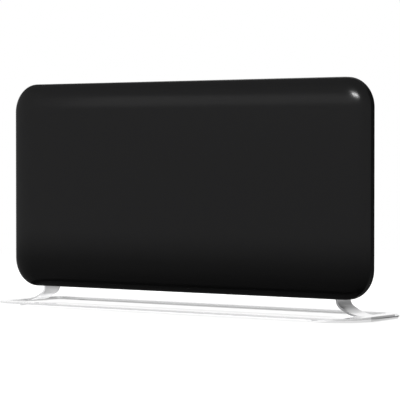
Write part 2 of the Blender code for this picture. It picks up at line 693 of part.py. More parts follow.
def thermostat():
    """Room thermostat behind the plate. Its shaft carries the knob and turns with it."""
    size = (THERMOSTAT_L, THERMOSTAT_W, THERMOSTAT_H)
    inner = PAN_W / 2 - THERMOSTAT_L
    box = piece("thermostat_body", boxes("thermostat_body", [((0, 0, 0), size)]), "pale_plastic",
                (inner + THERMOSTAT_L / 2, CONTROL_Y, KNOB_Z))
    shaft_in = KNOB_BORE_END - SHAFT_L
    bore_l = PAN_W / 2 - shaft_in + GAP
    bore = [((PAN_W / 2 - bore_l / 2 + 1 * MM, CONTROL_Y, KNOB_Z), (1, 0, 0), SHAFT_D + 2 * GAP, bore_l + 2 * MM)]
    cut(box, tool("thermostat_bore", rods("thermostat_bore", bore, 20)))
    blades = [((inner - BLADE_L / 2 + BURY / 2, CONTROL_Y + y, KNOB_Z), (BLADE_L + BURY, BLADE_T, BLADE_W))
              for y in (-6 * MM, 6 * MM)]
    join(box, tool("thermostat_blades", boxes("thermostat_blades", blades)))

    axis = bpy.data.objects.new("knob_axis", None)
    HEATER.objects.link(axis)
    axis.location = (PLATE_FACE + GAP, CONTROL_Y, KNOB_Z)
    shaft = rods("thermostat_shaft", [((0, 0, 0), (1, 0, 0), SHAFT_D, SHAFT_L)], 20)
    piece("thermostat_shaft", shaft, "zinc_steel", (shaft_in + SHAFT_L / 2 - axis.location.x, 0, 0), parent=axis)

    bore_r = SHAFT_D / 2 + GAP
    bore_top = KNOB_H - 2.5 * MM
    grip = KNOB_GRIP_D / 2
    skirt = KNOB_SKIRT_D / 2
    profile = [(0, KNOB_H), (grip - 1 * MM, KNOB_H), (grip, KNOB_H - 1 * MM), (grip + 0.6 * MM, KNOB_SKIRT_T),
               (skirt - 0.8 * MM, KNOB_SKIRT_T), (skirt, KNOB_SKIRT_T - 1 * MM), (skirt, 0), (bore_r, 0),
               (bore_r, bore_top), (0, bore_top)]
    knob = piece("thermostat_knob", turned("thermostat_knob", profile, steps=36), "black_plastic", (0, 0, 0), TO_X,
                 parent=axis)
    rib_z = axis.location.z + grip * 0.55
    rib = [((axis.location.x + KNOB_H, CONTROL_Y, rib_z), (1.6 * MM, KNOB_RIB_W, grip * 0.8))]
    join(knob, tool("knob_rib", boxes("knob_rib", rib)))


KNOB_BORE_END = PLATE_FACE + GAP + KNOB_H - 2.5 * MM - GAP


def rocker_outline():
    """Side view of a rocker: local X outward from the pivot, local Y up. Its face dips in the middle."""
    half = ROCKER_H / 2
    face = ROCKER_PIVOT + ROCKER_PROUD
    steps = 6
    points = []
    for i in range(steps + 1):
        t = -1 + 2 * i / steps
        points.append((face - ROCKER_DISH * (1 - t * t), half * t))
    back = face - ROCKER_T
    points += [(back + 1.5 * MM, half), (back, half * 0.45), (back, -half * 0.45), (back + 1.5 * MM, -half)]
    return points


def rocker_switch(name, z):
    """Snap-in switch: its case behind the plate, a bezel in front, and the rocker in its well."""
    case = (SWITCH_L, SWITCH_W, SWITCH_H)
    low = BEZEL_FACE - BEZEL_T / 2 - SWITCH_L
    body = piece(f"{name}_switch", boxes(name, [((0, 0, 0), case)]), "black_plastic",
                 (low + SWITCH_L / 2, CONTROL_Y, z))
    bezel = [((BEZEL_FACE - BEZEL_T / 2, CONTROL_Y, z), (BEZEL_T, BEZEL_W, BEZEL_H))]
    join(body, tool(f"{name}_bezel", boxes(f"{name}_bezel", bezel)))
    well = [((BEZEL_FACE + 2 * MM - WELL_DEPTH / 2, CONTROL_Y, z), (WELL_DEPTH + 4 * MM, WELL_W, WELL_H))]
    cut(body, tool(f"{name}_well", boxes(f"{name}_well", well)))
    pivot = (BEZEL_FACE - ROCKER_PIVOT, CONTROL_Y, z)
    hole = [(pivot, (0, 1, 0), ROCKER_PIN_D + 2 * GAP, SWITCH_W - 0.4 * MM)]
    cut(body, tool(f"{name}_pin_hole", rods(f"{name}_pin_hole", hole, 12)))
    blades = [((low - BLADE_L / 2 + BURY / 2, CONTROL_Y, z + dz), (BLADE_L + BURY, BLADE_W, BLADE_T))
              for dz in (-5 * MM, 5 * MM)]
    join(body, tool(f"{name}_blades", boxes(f"{name}_blades", blades)))

    turn = Matrix.Rotation(math.radians(90), 4, "X")
    mesh = plate(f"{name}_rocker", [rocker_outline()], ROCKER_W)
    rocker = piece(f"{name}_rocker", mesh, "black_plastic", pivot, turn)
    pin = [(pivot, (0, 1, 0), ROCKER_PIN_D, (WELL_W + SWITCH_W) / 2 - 0.4 * MM)]
    join(rocker, tool(f"{name}_pin", rods(f"{name}_pin", pin, 12)))


def indicator_lens():
    dome = 1.6 * MM
    rim = LENS_RIM_D / 2
    profile = [(0, dome + 1 * MM), (rim * 0.55, dome + 0.6 * MM), (rim * 0.9, 1 * MM), (rim, 0.6 * MM), (rim, 0),
               (LENS_D / 2, 0), (LENS_D / 2, -LENS_L), (0, -LENS_L)]
    piece("indicator_lens", turned("indicator_lens", profile), "red_lens", (PLATE_FACE + GAP, CONTROL_Y, LENS_Z), TO_X)


def tip_switch():
    """Tip-over switch: a pendulum that hangs on a pin between two cheeks."""
    inside = TIP_W - 2 * TIP_WALL
    back = SEAT_Y - TIP_WALL / 2
    front_y = TIP_Y - 9 * MM
    low = TIP_Z + TIP_ABOVE - TIP_H
    middle_z = low + TIP_H / 2
    cheek = (TIP_WALL, SEAT_Y - front_y, TIP_H)
    house = piece("tip_switch_housing", boxes("tip_switch_housing", [((0, 0, 0), (TIP_W, TIP_WALL, TIP_H))]),
                  "pale_plastic", (TIP_X, back, middle_z))
    cheeks = [((TIP_X + sign * (inside + TIP_WALL) / 2, (front_y + SEAT_Y) / 2, middle_z), (cheek[0], cheek[1],
               cheek[2] - 2 * GAP)) for sign in (-1, 1)]
    join(house, tool("tip_cheeks", boxes("tip_cheeks", cheeks)))
    hole = [((TIP_X, TIP_Y, TIP_Z), (1, 0, 0), TIP_PIN_D + 2 * GAP, 2 * TIP_W)]
    cut(house, tool("tip_pin_hole", rods("tip_pin_hole", hole, 16)))
    head = 1.2 * MM
    half = TIP_W / 2 + GAP
    r = TIP_PIN_D / 2
    profile = [(0, half + head), (r + 1 * MM, half + head), (r + 1 * MM, half), (r, half), (r, -half),
               (r + 1 * MM, -half), (r + 1 * MM, -half - head), (0, -half - head)]
    piece("tip_pin", turned("tip_pin", profile, steps=16), "zinc_steel", (TIP_X, TIP_Y, TIP_Z), TO_X)

    eye = circle(ARM_EYE_D, 20)
    ring = plate("tip_pendulum", [eye, circle(TIP_PIN_D + 2 * GAP, 16)], ARM_W)
    bob = piece("tip_pendulum", ring, "brass", (TIP_X, TIP_Y, TIP_Z), SIDEWAYS)
    below = TIP_PIN_D / 2 + GAP + 1 * MM
    arm = [((TIP_X, TIP_Y, TIP_Z - (ARM_L + below) / 2), (ARM_W - 2 * GAP, ARM_W, ARM_L - below))]
    join(bob, tool("tip_arm", boxes("tip_arm", arm)))
    weight = [((TIP_X, TIP_Y, TIP_Z - ARM_L), (1, 0, 0), BOB_D, BOB_L)]
    join(bob, tool("tip_weight", rods("tip_weight", weight, 20)))


def terminal_block():
    """Three-pole block on the pan's back, and the gland where the mains lead would come in."""
    middle = (BLOCK_X, SEAT_Y - BLOCK_D / 2, BLOCK_Z)
    block = piece("terminal_block", boxes("terminal_block", [((0, 0, 0), (BLOCK_W, BLOCK_D, BLOCK_H))]),
                  "pale_plastic", middle)
    wells = [((BLOCK_X + pole * POLE_PITCH, SEAT_Y - BLOCK_D, BLOCK_Z), (0, 1, 0), POLE_D, 8 * MM)
             for pole in (-1, 0, 1)]
    cut(block, tool("block_wells", rods("block_wells", wells, 12)))

    bore = GLAND_BORE_D / 2
    barrel = GLAND_D / 2
    collar = GLAND_COLLAR_D / 2
    out = GLAND_OUTSIDE
    profile = [(bore, out), (collar * 0.72, out), (collar, 3 * MM), (collar, 0), (barrel, 0), (barrel, -GLAND_INSIDE),
               (bore, -GLAND_INSIDE)]
    piece("cord_gland", turned("cord_gland", profile, closed=True), "black_plastic",
          (GLAND_X, PAN_BACK + GAP, GLAND_Z), TO_Y)
    nut = plate("gland_nut", [circle(NUT_D, 6), circle(GLAND_D + 2 * GAP, 24)], NUT_T)
    piece("gland_nut", nut, "black_plastic", (GLAND_X, SEAT_Y - NUT_T / 2, GLAND_Z), UPRIGHT)


def leg_outline():
    """Side view of a right leg in X and Z: flat in the end bar, up a slope, then upright."""
    steps = 6
    slope = math.pi - math.atan2(LEG_RISE, LEG_RUN)
    bends = [
        (LEG_MID + LEG_RUN, PLATE_MID, math.pi, slope, LOW_BEND),
        (LEG_MID, PLATE_MID + LEG_RISE, slope, math.pi / 2, HIGH_BEND),
    ]
    middle = [(STAND_L / 2 - END_BAR / 2, PLATE_MID, 0, 1)]
    for x, z, start, end, radius in bends:
        reach = radius * math.tan((start - end) / 2)
        centre_x = x - reach * math.cos(start) + radius * math.sin(start)
        centre_z = z - reach * math.sin(start) - radius * math.cos(start)
        for i in range(steps + 1):
            heading = start + (end - start) * i / steps
            nx, nz = math.sin(heading), -math.cos(heading)
            middle.append((centre_x - radius * nx, centre_z - radius * nz, nx, nz))
    middle.append((LEG_MID, LEG_TOP, 1, 0))
    half = PLATE_T / 2
    upper = [(x + nx * half, z + nz * half) for x, z, nx, nz in middle]
    lower = [(x - nx * half, z - nz * half) for x, z, nx, nz in middle]
    return upper + lower[::-1]


def stand():
    """One aluminium plate with a long slot, and a tongue at each end bent up as a leg."""
    outer = rounded_rectangle(STAND_L, STAND_D, STAND_CORNER, 14)
    slot = rounded_rectangle(STAND_L - 2 * END_BAR, STAND_D - 2 * SIDE_BAR, SLOT_CORNER, 12)
    base = piece("stand", plate("stand", [outer, slot], PLATE_T), "stand_aluminium", (0, 0, PLATE_MID))
    right = plate("leg", [leg_outline()], LEG_W)
    for side, turn in (("right", UPRIGHT), ("left", Matrix.Rotation(math.pi, 4, "Z") @ UPRIGHT)):
        join(base, tool(f"leg_{side}", right.copy(), (0, 0, 0), turn))
    holes = [((sign * LEG_MID, y, LEG_TOP - LEG_BOLT_DROP), (1, 0, 0), LEG_BOLT_D + 2 * GAP, 6 * PLATE_T)
             for sign in (-1, 1) for y in (-LEG_BOLT_SPREAD, LEG_BOLT_SPREAD)]
    cut(base, tool("leg_holes", rods("leg_holes", holes, 16)))

    for side, sx in (("left", -1), ("right", 1)):
        for end, sy in (("front", -1), ("back", 1)):
            pad = rods("foot_pad", [((0, 0, 0), (0, 0, 1), PAD_D, PAD_T)], 24)
            piece(f"foot_pad_{end}_{side}", pad, "clear_rubber",
                  (sx * PAD_SPREAD_X, sy * (STAND_D - SIDE_BAR) / 2, PAD_T / 2))


def leg_brackets():
    """Steel angles inside the pan, one beside each leg, with two bolts through leg and angle."""
    low = PAN_Z + PAN_EDGE
    front = -LEG_W / 2
    height = LEG_TOP - low
    middle_z = low + height / 2
    face = LEG_X - GAP
    for side, sign in (("left", -1), ("right", 1)):
        name = f"leg_bracket_{side}"
        size = (BRACKET_T, SEAT_Y - front, height)
        angle = piece(name, boxes(name, [((0, 0, 0), size)]), "zinc_steel",
                      (sign * (face - BRACKET_T / 2), (front + SEAT_Y) / 2, middle_z))
        foot = [((sign * (face - BRACKET_FOOT / 2), SEAT_Y - BRACKET_T / 2, middle_z),
                 (BRACKET_FOOT, BRACKET_T, height - 2 * GAP))]
        join(angle, tool(f"{name}_foot", boxes(f"{name}_foot", foot)))
        places = [(y, LEG_TOP - LEG_BOLT_DROP) for y in (-LEG_BOLT_SPREAD, LEG_BOLT_SPREAD)]
        holes = [((sign * face, y, z), (1, 0, 0), LEG_BOLT_D + 2 * GAP, 6 * BRACKET_T) for y, z in places]
        cut(angle, tool(f"{name}_holes", rods(f"{name}_holes", holes, 16)))
        turn = TO_X if sign > 0 else Matrix.Rotation(math.pi, 4, "Z") @ TO_X
        for number, (y, z) in enumerate(places, 1):
            head = LEG_BOLT_D * 0.9
            shank = LEG_BOLT_D / 2
            length = PLATE_T + BRACKET_T + 4 * MM
            profile = [(0, 3 * MM), (head - 1 * MM, 3 * MM), (head, 2 * MM), (head, 0), (shank, 0), (shank, -length),
                       (0, -length)]
            piece(f"leg_bolt_{side}_{number}", turned("leg_bolt", profile, steps=16), "zinc_steel",
                  (sign * (LEG_X + PLATE_T + GAP), y, z), turn)


def rounded_route(points):
    """The route with its corners cut twice, which rounds them and keeps both ends straight."""
    route = [Vector(p) for p in points]
    for _ in range(2):
        cut_route = [route[0]]
        for a, b in zip(route, route[1:]):
            cut_route += [a.lerp(b, 0.25), a.lerp(b, 0.75)]
        route = cut_route + [route[-1]]
    return route


def lead(name, finish, points, leave, arrive):
    """Insulated inner lead along a route, straight where it leaves one terminal and reaches the next."""
    straight = 3 * MM
    first = Vector(points[0]) + straight * Vector(leave)
    last = Vector(points[-1]) + straight * Vector(arrive)
    curve = bpy.data.curves.new(name, "CURVE")
    curve.dimensions = "3D"
    curve.bevel_depth = LEAD_D / 2
    curve.bevel_resolution = 1
    curve.use_fill_caps = True
    spline = curve.splines.new("POLY")
    route = rounded_route([points[0], first, *points[1:-1], last, points[-1]])
    spline.points.add(len(route) - 1)
    for point, place in zip(spline.points, route):
        point.co = (*place, 1)
    piece(name, curve, finish)


def leads():
    """Block to power switch, to heat switch, to thermostat, to cut-out, to element, and back to the block."""
    end = GAP + BLADE_L
    up, left, right = (0, 0, 1), (-1, 0, 0), (1, 0, 0)
    switch_x = BEZEL_FACE - BEZEL_T / 2 - SWITCH_L - end
    thermostat_x = PAN_W / 2 - THERMOSTAT_L - end
    cutout_y = SEAT_Y - CUTOUT_H / 2 - 1 * MM
    cutout_x = CUTOUT_D / 2 + end
    block_y = SEAT_Y - BLOCK_D / 2
    block_top = BLOCK_Z + BLOCK_H / 2 + GAP
    pin = ROD_L / 2 + PIN_L + GAP
    behind = SEAT_Y - 4 * MM
    lead("lead_supply", "live_sleeve", [
        (BLOCK_X + POLE_PITCH, block_y, block_top),
        (BLOCK_X + POLE_PITCH + 4 * MM, block_y, block_top + 16 * MM),
        (switch_x - 22 * MM, CONTROL_Y + 4 * MM, POWER_Z - 36 * MM),
        (switch_x - 16 * MM, CONTROL_Y, POWER_Z - 12 * MM),
        (switch_x, CONTROL_Y, POWER_Z - 5 * MM)], up, left)
    lead("lead_bridge", "live_sleeve", [
        (switch_x, CONTROL_Y, POWER_Z + 5 * MM),
        (switch_x - 9 * MM, CONTROL_Y + 7 * MM, POWER_Z + 2 * MM),
        (switch_x - 9 * MM, CONTROL_Y + 10 * MM, (POWER_Z + HEAT_Z) / 2),
        (switch_x - 8 * MM, CONTROL_Y + 7 * MM, HEAT_Z + 8 * MM),
        (switch_x, CONTROL_Y, HEAT_Z + 5 * MM)], left, left)
    lead("lead_thermostat", "live_sleeve", [
        (switch_x, CONTROL_Y, HEAT_Z - 5 * MM),
        (switch_x - 10 * MM, CONTROL_Y - 8 * MM, HEAT_Z - 1 * MM),
        (switch_x - 10 * MM, CONTROL_Y - 13 * MM, HEAT_Z + 18 * MM),
        (thermostat_x - 12 * MM, CONTROL_Y - 12 * MM, KNOB_Z - 18 * MM),
        (thermostat_x - 9 * MM, CONTROL_Y - 8 * MM, KNOB_Z - 3 * MM),
        (thermostat_x, CONTROL_Y - 6 * MM, KNOB_Z)], left, left)
    lead("lead_cutout", "live_sleeve", [
        (thermostat_x, CONTROL_Y + 6 * MM, KNOB_Z),
        (thermostat_x - 14 * MM, CONTROL_Y + 8 * MM, KNOB_Z + 3 * MM),
        (CUTOUT_X + 100 * MM, behind, CUTOUT_Z + 12 * MM),
        (CUTOUT_X + cutout_x + 16 * MM, cutout_y, CUTOUT_Z + 2 * MM),
        (CUTOUT_X + cutout_x, cutout_y, CUTOUT_Z)], left, right)
    lead("lead_element", "live_sleeve", [
        (CUTOUT_X - cutout_x, cutout_y, CUTOUT_Z),
        (CUTOUT_X - cutout_x - 10 * MM, cutout_y - 2 * MM, CUTOUT_Z + 8 * MM),
        (CUTOUT_X - 4 * MM, cutout_y - 4 * MM, CUTOUT_Z + 24 * MM),
        (CUTOUT_X + 50 * MM, cutout_y - 6 * MM, CUTOUT_Z + 4 * MM),
        (pin - 6 * MM, ELEMENT_Y + 12 * MM, ELEMENT_Z + 46 * MM),
        (pin + 14 * MM, ELEMENT_Y + 4 * MM, ELEMENT_Z + 12 * MM),
        (pin, ELEMENT_Y, ELEMENT_Z)], left, right)
    low = ELEMENT_Z - CARRIER_H / 2 - 4.5 * MM
    lead("lead_neutral", "neutral_sleeve", [
        (BLOCK_X, block_y, block_top),
        (BLOCK_X - 2 * MM, block_y, low - 6 * MM),
        (BLOCK_X - 22 * MM, behind, low),
        (0, behind, low),
        (-CARRIER_X + 20 * MM, behind, low),
        (-pin - 4 * MM, ELEMENT_Y + 14 * MM, low + 4 * MM),
        (-pin - 12 * MM, ELEMENT_Y + 4 * MM, ELEMENT_Z - 10 * MM),
        (-pin, ELEMENT_Y, ELEMENT_Z)], up, left)


front_panel()
rear_cover()
cover_screws()
element()
element_brackets()
heat_shield()
thermal_cutout()
control_plate()
thermostat()
rocker_switch("power", POWER_Z)
rocker_switch("heat", HEAT_Z)
indicator_lens()
tip_switch()
terminal_block()
leg_brackets()
stand()
leads()
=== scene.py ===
"""Panel heater: gloss black steel front on a flat polished steel stand, in a plain white studio.

Metres, +Z up, the front faces -Y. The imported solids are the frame, and every piece here sits on them.
"""

import math

import bmesh
import bpy
from mathutils import Matrix, Vector


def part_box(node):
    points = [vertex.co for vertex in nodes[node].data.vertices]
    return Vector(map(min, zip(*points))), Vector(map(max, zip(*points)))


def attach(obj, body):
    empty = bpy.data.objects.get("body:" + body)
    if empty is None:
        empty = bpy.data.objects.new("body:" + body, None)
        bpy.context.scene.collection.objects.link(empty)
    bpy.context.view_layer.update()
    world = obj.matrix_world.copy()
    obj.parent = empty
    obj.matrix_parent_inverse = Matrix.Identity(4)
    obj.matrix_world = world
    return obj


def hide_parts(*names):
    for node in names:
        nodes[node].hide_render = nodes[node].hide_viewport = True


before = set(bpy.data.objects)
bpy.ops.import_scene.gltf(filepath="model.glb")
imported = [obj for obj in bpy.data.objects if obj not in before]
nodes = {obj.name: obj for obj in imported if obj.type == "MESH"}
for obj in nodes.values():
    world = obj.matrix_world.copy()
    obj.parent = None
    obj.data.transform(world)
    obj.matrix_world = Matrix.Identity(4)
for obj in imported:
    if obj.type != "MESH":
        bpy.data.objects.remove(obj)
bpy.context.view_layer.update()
scene = bpy.context.scene
scene.view_settings.view_transform = "Standard"


# The camera stands to the right of the heater, a long way off, at about the height of the panel's middle.
# A long lens gives the panel's nearly parallel upper and lower edges.
camera_place = Vector((2.522, -3.4905, 0.3171))
camera_aim = Vector((0.0428, -0.026, 0.2252))
camera = bpy.data.objects.new("camera", bpy.data.cameras.new("camera"))
scene.collection.objects.link(camera)
camera.data.sensor_width = 36.0
camera.data.lens = 189.0
camera.data.clip_end = 60.0
camera.location = camera_place
camera.rotation_euler = (camera_aim - camera_place).to_track_quat("-Z", "Y").to_euler()
scene.camera = camera


# The studio is a white sweep of paper that stands higher at the back, under a dimmer ceiling and with a pale
# grey curtain at the right-hand back. The paper under the heater has its own section, after the stand's.
def feed(tree, sockets, sources):
    """Links each socket, by name or by number, to another node's output, or sets it to a plain value."""
    for key, source in sources.items() if isinstance(sources, dict) else enumerate(sources):
        if isinstance(source, bpy.types.NodeSocket):
            tree.links.new(source, sockets[key])
        else:
            sockets[key].default_value = source


def add_node(tree, kind, sources=(), out=0, **settings):
    """Adds a node with its settings, feeds its inputs, and returns one output, or all where out is None."""
    made = tree.nodes.new("ShaderNode" + kind)
    for name, value in settings.items():
        setattr(made, name, value)
    feed(tree, made.inputs, sources)
    return made.outputs if out is None else made.outputs[out]


def maths(tree, operation, *sources):
    return add_node(tree, "Math", sources, operation=operation)


def vector_maths(tree, operation, *sources):
    """The result is a vector, or a number where the operation is a length or a dot product."""
    out = "Value" if operation in ("LENGTH", "DOT_PRODUCT") else "Vector"
    return add_node(tree, "VectorMath", sources, out, operation=operation)


def ramp(tree, source, low, high, start=0.0, end=1.0, kind="SMOOTHSTEP"):
    """Goes from start, where the source is at low, to end, where it is at high."""
    sources = {"Value": source, "From Min": low, "From Max": high, "To Min": start, "To Max": end}
    return add_node(tree, "MapRange", sources, interpolation_type=kind)


def node_group(name, inputs, outputs):
    """A group with its named sockets, what comes in through them, and where its results go out."""
    group = bpy.data.node_groups.new(name, "ShaderNodeTree")
    for socket, kind, value in inputs:
        made = group.interface.new_socket(name=socket, in_out="INPUT", socket_type="NodeSocket" + kind)
        made.default_value = value
    for socket, kind in outputs:
        group.interface.new_socket(name=socket, in_out="OUTPUT", socket_type="NodeSocket" + kind)
    return group, group.nodes.new("NodeGroupInput").outputs, group.nodes.new("NodeGroupOutput").inputs


def curtain_group():
    """The studio's tone in a direction: 1, falling to Shade towards the right-hand back."""
    group, given, result = node_group(
        "studio_curtain", [("Direction", "Vector", (0, 0, 0)), ("Shade", "Float", 0.5)], [("Tone", "Float")])
    curtain_middle = (0.766, 0.643, 0.0)
    curtain_edge, curtain_full = 0.62, 0.80
    unit = vector_maths(group, "NORMALIZE", given["Direction"])
    facing = vector_maths(group, "DOT_PRODUCT", unit, curtain_middle)
    feed(group, result, {"Tone": ramp(group, facing, curtain_edge, curtain_full, 1.0, given["Shade"])})
    return group


studio_curtain = curtain_group()
sweep_back = (-0.3, 0.954, 0.0)
sweep_edge, sweep_full, sweep_rise = 0.7, 0.82, 0.3
ceiling_edge, ceiling_full, ceiling_grey = 0.2, 0.5, 0.3
world = bpy.data.worlds.new("studio")
scene.world = world
world.use_nodes = True
tree = world.node_tree
direction = add_node(tree, "TexCoord", out="Generated")
backwards = vector_maths(tree, "DOT_PRODUCT", direction, sweep_back)
raised = ramp(tree, backwards, sweep_edge, sweep_full, 0.0, sweep_rise, "LINEAR")
above_sweep = maths(tree, "SUBTRACT", add_node(tree, "SeparateXYZ", [direction], "Z"), raised)
ceiling = ramp(tree, above_sweep, ceiling_edge, ceiling_full, 1.0, ceiling_grey, "LINEAR")
curtain = add_node(tree, "Group", {"Direction": direction}, "Tone", node_tree=studio_curtain)
surround = maths(tree, "MULTIPLY", ceiling, curtain)
feed(tree, tree.nodes["Background"].inputs, {"Color": surround, "Strength": 1.0})


# Three soft lamps. A large one hangs overhead and behind. A long strip in front makes the pale band along the
# panel's upper edge, and a small lamp the bright fleck on its right-hand corner, both as reflections only.
def soft_lamp(name, location, aim, size, power):
    lamp = bpy.data.lights.new(name, "AREA")
    lamp.shape = "RECTANGLE"
    lamp.size, lamp.size_y = size
    lamp.energy = power
    made = bpy.data.objects.new(name, lamp)
    scene.collection.objects.link(made)
    made.location = location
    made.rotation_euler = (Vector(aim) - Vector(location)).to_track_quat("-Z", "Y").to_euler()
    return made


soft_lamp("overhead_lamp", (-0.9, 0.7, 2.4), (0, 0, 0.2), (1.6, 1.2), 34.0)
band_lamp = soft_lamp("band_lamp", (-1.255, -2.42, 0.84), (0.24, -0.03, 0.43), (1.56, 0.44), 7.0)
fleck_lamp = soft_lamp("fleck_lamp", (-0.16, -2.4, 1.08), (0.417, -0.036, 0.433), (0.46, 0.13), 80.0)
for lamp in (band_lamp, fleck_lamp):
    lamp.visible_diffuse = False


# Stand: one 4 mm stainless plate, cut out as a long ring with a tongue at each end that is bent up as a leg.
# It is polished along its length, and duller up the bends, where its colour is painted darker as shade. The
# front of each sawn end is painted bright as a reflection; the right-hand leg's cut edges are painted dark as
# shade.
stand_low, stand_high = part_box("stand")
stand_l = stand_high[0] - stand_low[0]
stand_d = stand_high[1] - stand_low[1]
stand_corner = 0.056
side_bar = 0.028
end_bar = 0.029
slot_corner = 0.016
plate_thick = 0.004
plate_mid = stand_low[2] + plate_thick / 2
plate_top = stand_low[2] + plate_thick
seat_gap = 0.0003
leg_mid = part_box("leg_bracket_right")[1][0] + seat_gap + plate_thick / 2
leg_w = 0.050
leg_run = 0.0377
leg_rise = 0.0208
lower_bend = 0.080
upper_bend = 0.018
bolt_hole_r = 0.0028
MOVE = Matrix.Translation
UPRIGHT = Matrix.Rotation(math.radians(90), 4, "X")
SIDEWAYS = Matrix.Rotation(math.radians(90), 4, "Z") @ UPRIGHT
TO_X = Matrix.Rotation(math.radians(90), 4, "Y")
TO_Y = Matrix.Rotation(math.radians(-90), 4, "X")
ABOUT = Matrix.Rotation(math.pi, 4, "Z")


def middle_of(name):
    """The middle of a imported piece's box."""
    low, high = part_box(name)
    return [(a + b) / 2 for a, b in zip(low, high)]


def arc(centre, radius, start, end, steps):
    return [(centre[0] + radius * math.cos(start + (end - start) * i / steps),
             centre[1] + radius * math.sin(start + (end - start) * i / steps)) for i in range(steps + 1)]


def rounded_rectangle(width, height, radius, steps, centre=(0.0, 0.0)):
    points = []
    for number, (sx, sy) in enumerate(((1, 1), (-1, 1), (-1, -1), (1, -1))):
        middle = (centre[0] + sx * (width / 2 - radius), centre[1] + sy * (height / 2 - radius))
        points += arc(middle, radius, number * math.pi / 2, (number + 1) * math.pi / 2, steps)
    return points


def shape_of(holder):
    """The evaluated mesh of a helper object, which is then removed."""
    graph = bpy.context.evaluated_depsgraph_get()
    mesh = bpy.data.meshes.new_from_object(holder.evaluated_get(graph))
    bpy.data.objects.remove(holder)
    return mesh


def helper(data):
    holder = bpy.data.objects.new("helper", data)
    scene.collection.objects.link(holder)
    return holder


def flat_plate(outlines, thickness):
    """A flat plate in its own XY plane: its outline, then its holes."""
    curve = bpy.data.curves.new("outline", "CURVE")
    curve.dimensions = "2D"
    curve.fill_mode = "BOTH"
    curve.extrude = thickness / 2
    for outline in outlines:
        spline = curve.splines.new("POLY")
        spline.points.add(len(outline) - 1)
        for point, (x, y) in zip(spline.points, outline):
            point.co = (x, y, 0, 1)
        spline.use_cyclic_u = True
    mesh = shape_of(helper(curve))
    bm = bmesh.new()
    bm.from_mesh(mesh)
    bmesh.ops.remove_doubles(bm, verts=bm.verts, dist=0.00001)
    bmesh.ops.recalc_face_normals(bm, faces=bm.faces)
    bm.to_mesh(mesh)
    bm.free()
    return mesh


def disc(radius, steps, thickness):
    """A round plate, to cut a hole with."""
    return flat_plate([arc((0, 0), radius, 0, 2 * math.pi, steps)[:-1]], thickness)


def combined(mesh, others, operation):
    """Joins or cuts a mesh with others, each given as (mesh, matrix)."""
    holder = helper(mesh)
    tools = []
    for other, matrix in others:
        extra = helper(other)
        extra.matrix_world = matrix
        tools.append(extra)
        step = holder.modifiers.new("combine", "BOOLEAN")
        step.operation = operation
        step.object = extra
        step.solver = "EXACT"
    result = shape_of(holder)
    for extra in tools:
        bpy.data.objects.remove(extra)
    return result


def smooth(mesh, angle=35):
    mesh.shade_smooth()
    mesh.set_sharp_from_angle(angle=math.radians(angle))
    return mesh


def soften(piece, width, segments=2):
    """Breaks a piece's sharp corners, and keeps its flat faces flat."""
    weld = piece.modifiers.new("weld", "WELD")
    weld.merge_threshold = 0.00001
    edge = piece.modifiers.new("edge", "BEVEL")
    edge.width = width
    edge.segments = segments
    edge.limit_method = "ANGLE"
    edge.angle_limit = math.radians(35)
    edge.miter_outer = "MITER_ARC"
    even = piece.modifiers.new("even", "WEIGHTED_NORMAL")
    even.keep_sharp = True


def place(name, mesh, material, replaces, location=(0, 0, 0), turn=None, body="heater"):
    """Adds a finished piece that stands for a packed one and rides on its body."""
    made = bpy.data.objects.new(name, mesh)
    scene.collection.objects.link(made)
    made.location = location
    if turn is not None:
        made.rotation_euler = turn.to_euler()
    if not mesh.materials:
        mesh.materials.append(material)
    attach(made, body)
    if replaces:
        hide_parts(replaces)
    return made


def finish(name, colour, roughness, metallic=0.0, specular=0.5):
    """A Principled material with its even values set on the shader itself."""
    made = bpy.data.materials.new(name)
    made.use_nodes = True
    shader = made.node_tree.nodes["Principled BSDF"]
    shader.inputs["Base Color"].default_value = (*colour, 1.0)
    shader.inputs["Roughness"].default_value = roughness
    shader.inputs["Metallic"].default_value = metallic
    shader.inputs["Specular IOR Level"].default_value = specular
    return made, made.node_tree, shader


def colour_mix(tree, factor, first, second, blend_type="MIX"):
    """A colour between two, each given as red, green and blue or as another node's output."""
    first, second = [c if isinstance(c, bpy.types.NodeSocket) else (*c, 1.0) for c in (first, second)]
    return add_node(tree, "Mix", {"Factor": factor, "A": first, "B": second}, "Result", data_type="RGBA",
                    blend_type=blend_type)


def grain_group():
    """Fine texture of a surface: a roughness that varies, a bump, and a slight change of tone."""
    group, given, result = node_group(
        "surface_grain",
        [("Stretch", "Vector", (1, 1, 1)), ("Scale", "Float", 1000.0), ("Smoothest", "Float", 0.3),
         ("Roughest", "Float", 0.4), ("Bump", "Float", 0.1), ("Depth", "Float", 0.0002),
         ("Colour", "Color", (0.5, 0.5, 0.5, 1)), ("Tone", "Float", 0.1)],
        [("Colour", "Color"), ("Roughness", "Float"), ("Normal", "Vector")])
    broad_scale, broad_share = 14.0, 0.4
    where = add_node(group, "TexCoord", out="Object")
    stretched = vector_maths(group, "MULTIPLY", where, given["Stretch"])
    fine = add_node(group, "TexNoise", {"Vector": stretched, "Scale": given["Scale"], "Detail": 3.0})
    broad = add_node(group, "TexNoise", {"Vector": where, "Scale": broad_scale, "Detail": 4.0})
    mean = add_node(group, "Mix", {"Factor": broad_share, "A": fine, "B": broad}, "Result", data_type="FLOAT")
    shade = maths(group, "MULTIPLY", mean, given["Tone"])
    relief = add_node(group, "Bump", {"Height": fine, "Strength": given["Bump"], "Distance": given["Depth"]})
    feed(group, result, {
        "Colour": colour_mix(group, shade, given["Colour"], (0.0, 0.0, 0.0), "MULTIPLY"),
        "Roughness": ramp(group, mean, 0.3, 0.7, given["Smoothest"], given["Roughest"], "LINEAR"),
        "Normal": relief})
    return group


surface_grain = grain_group()


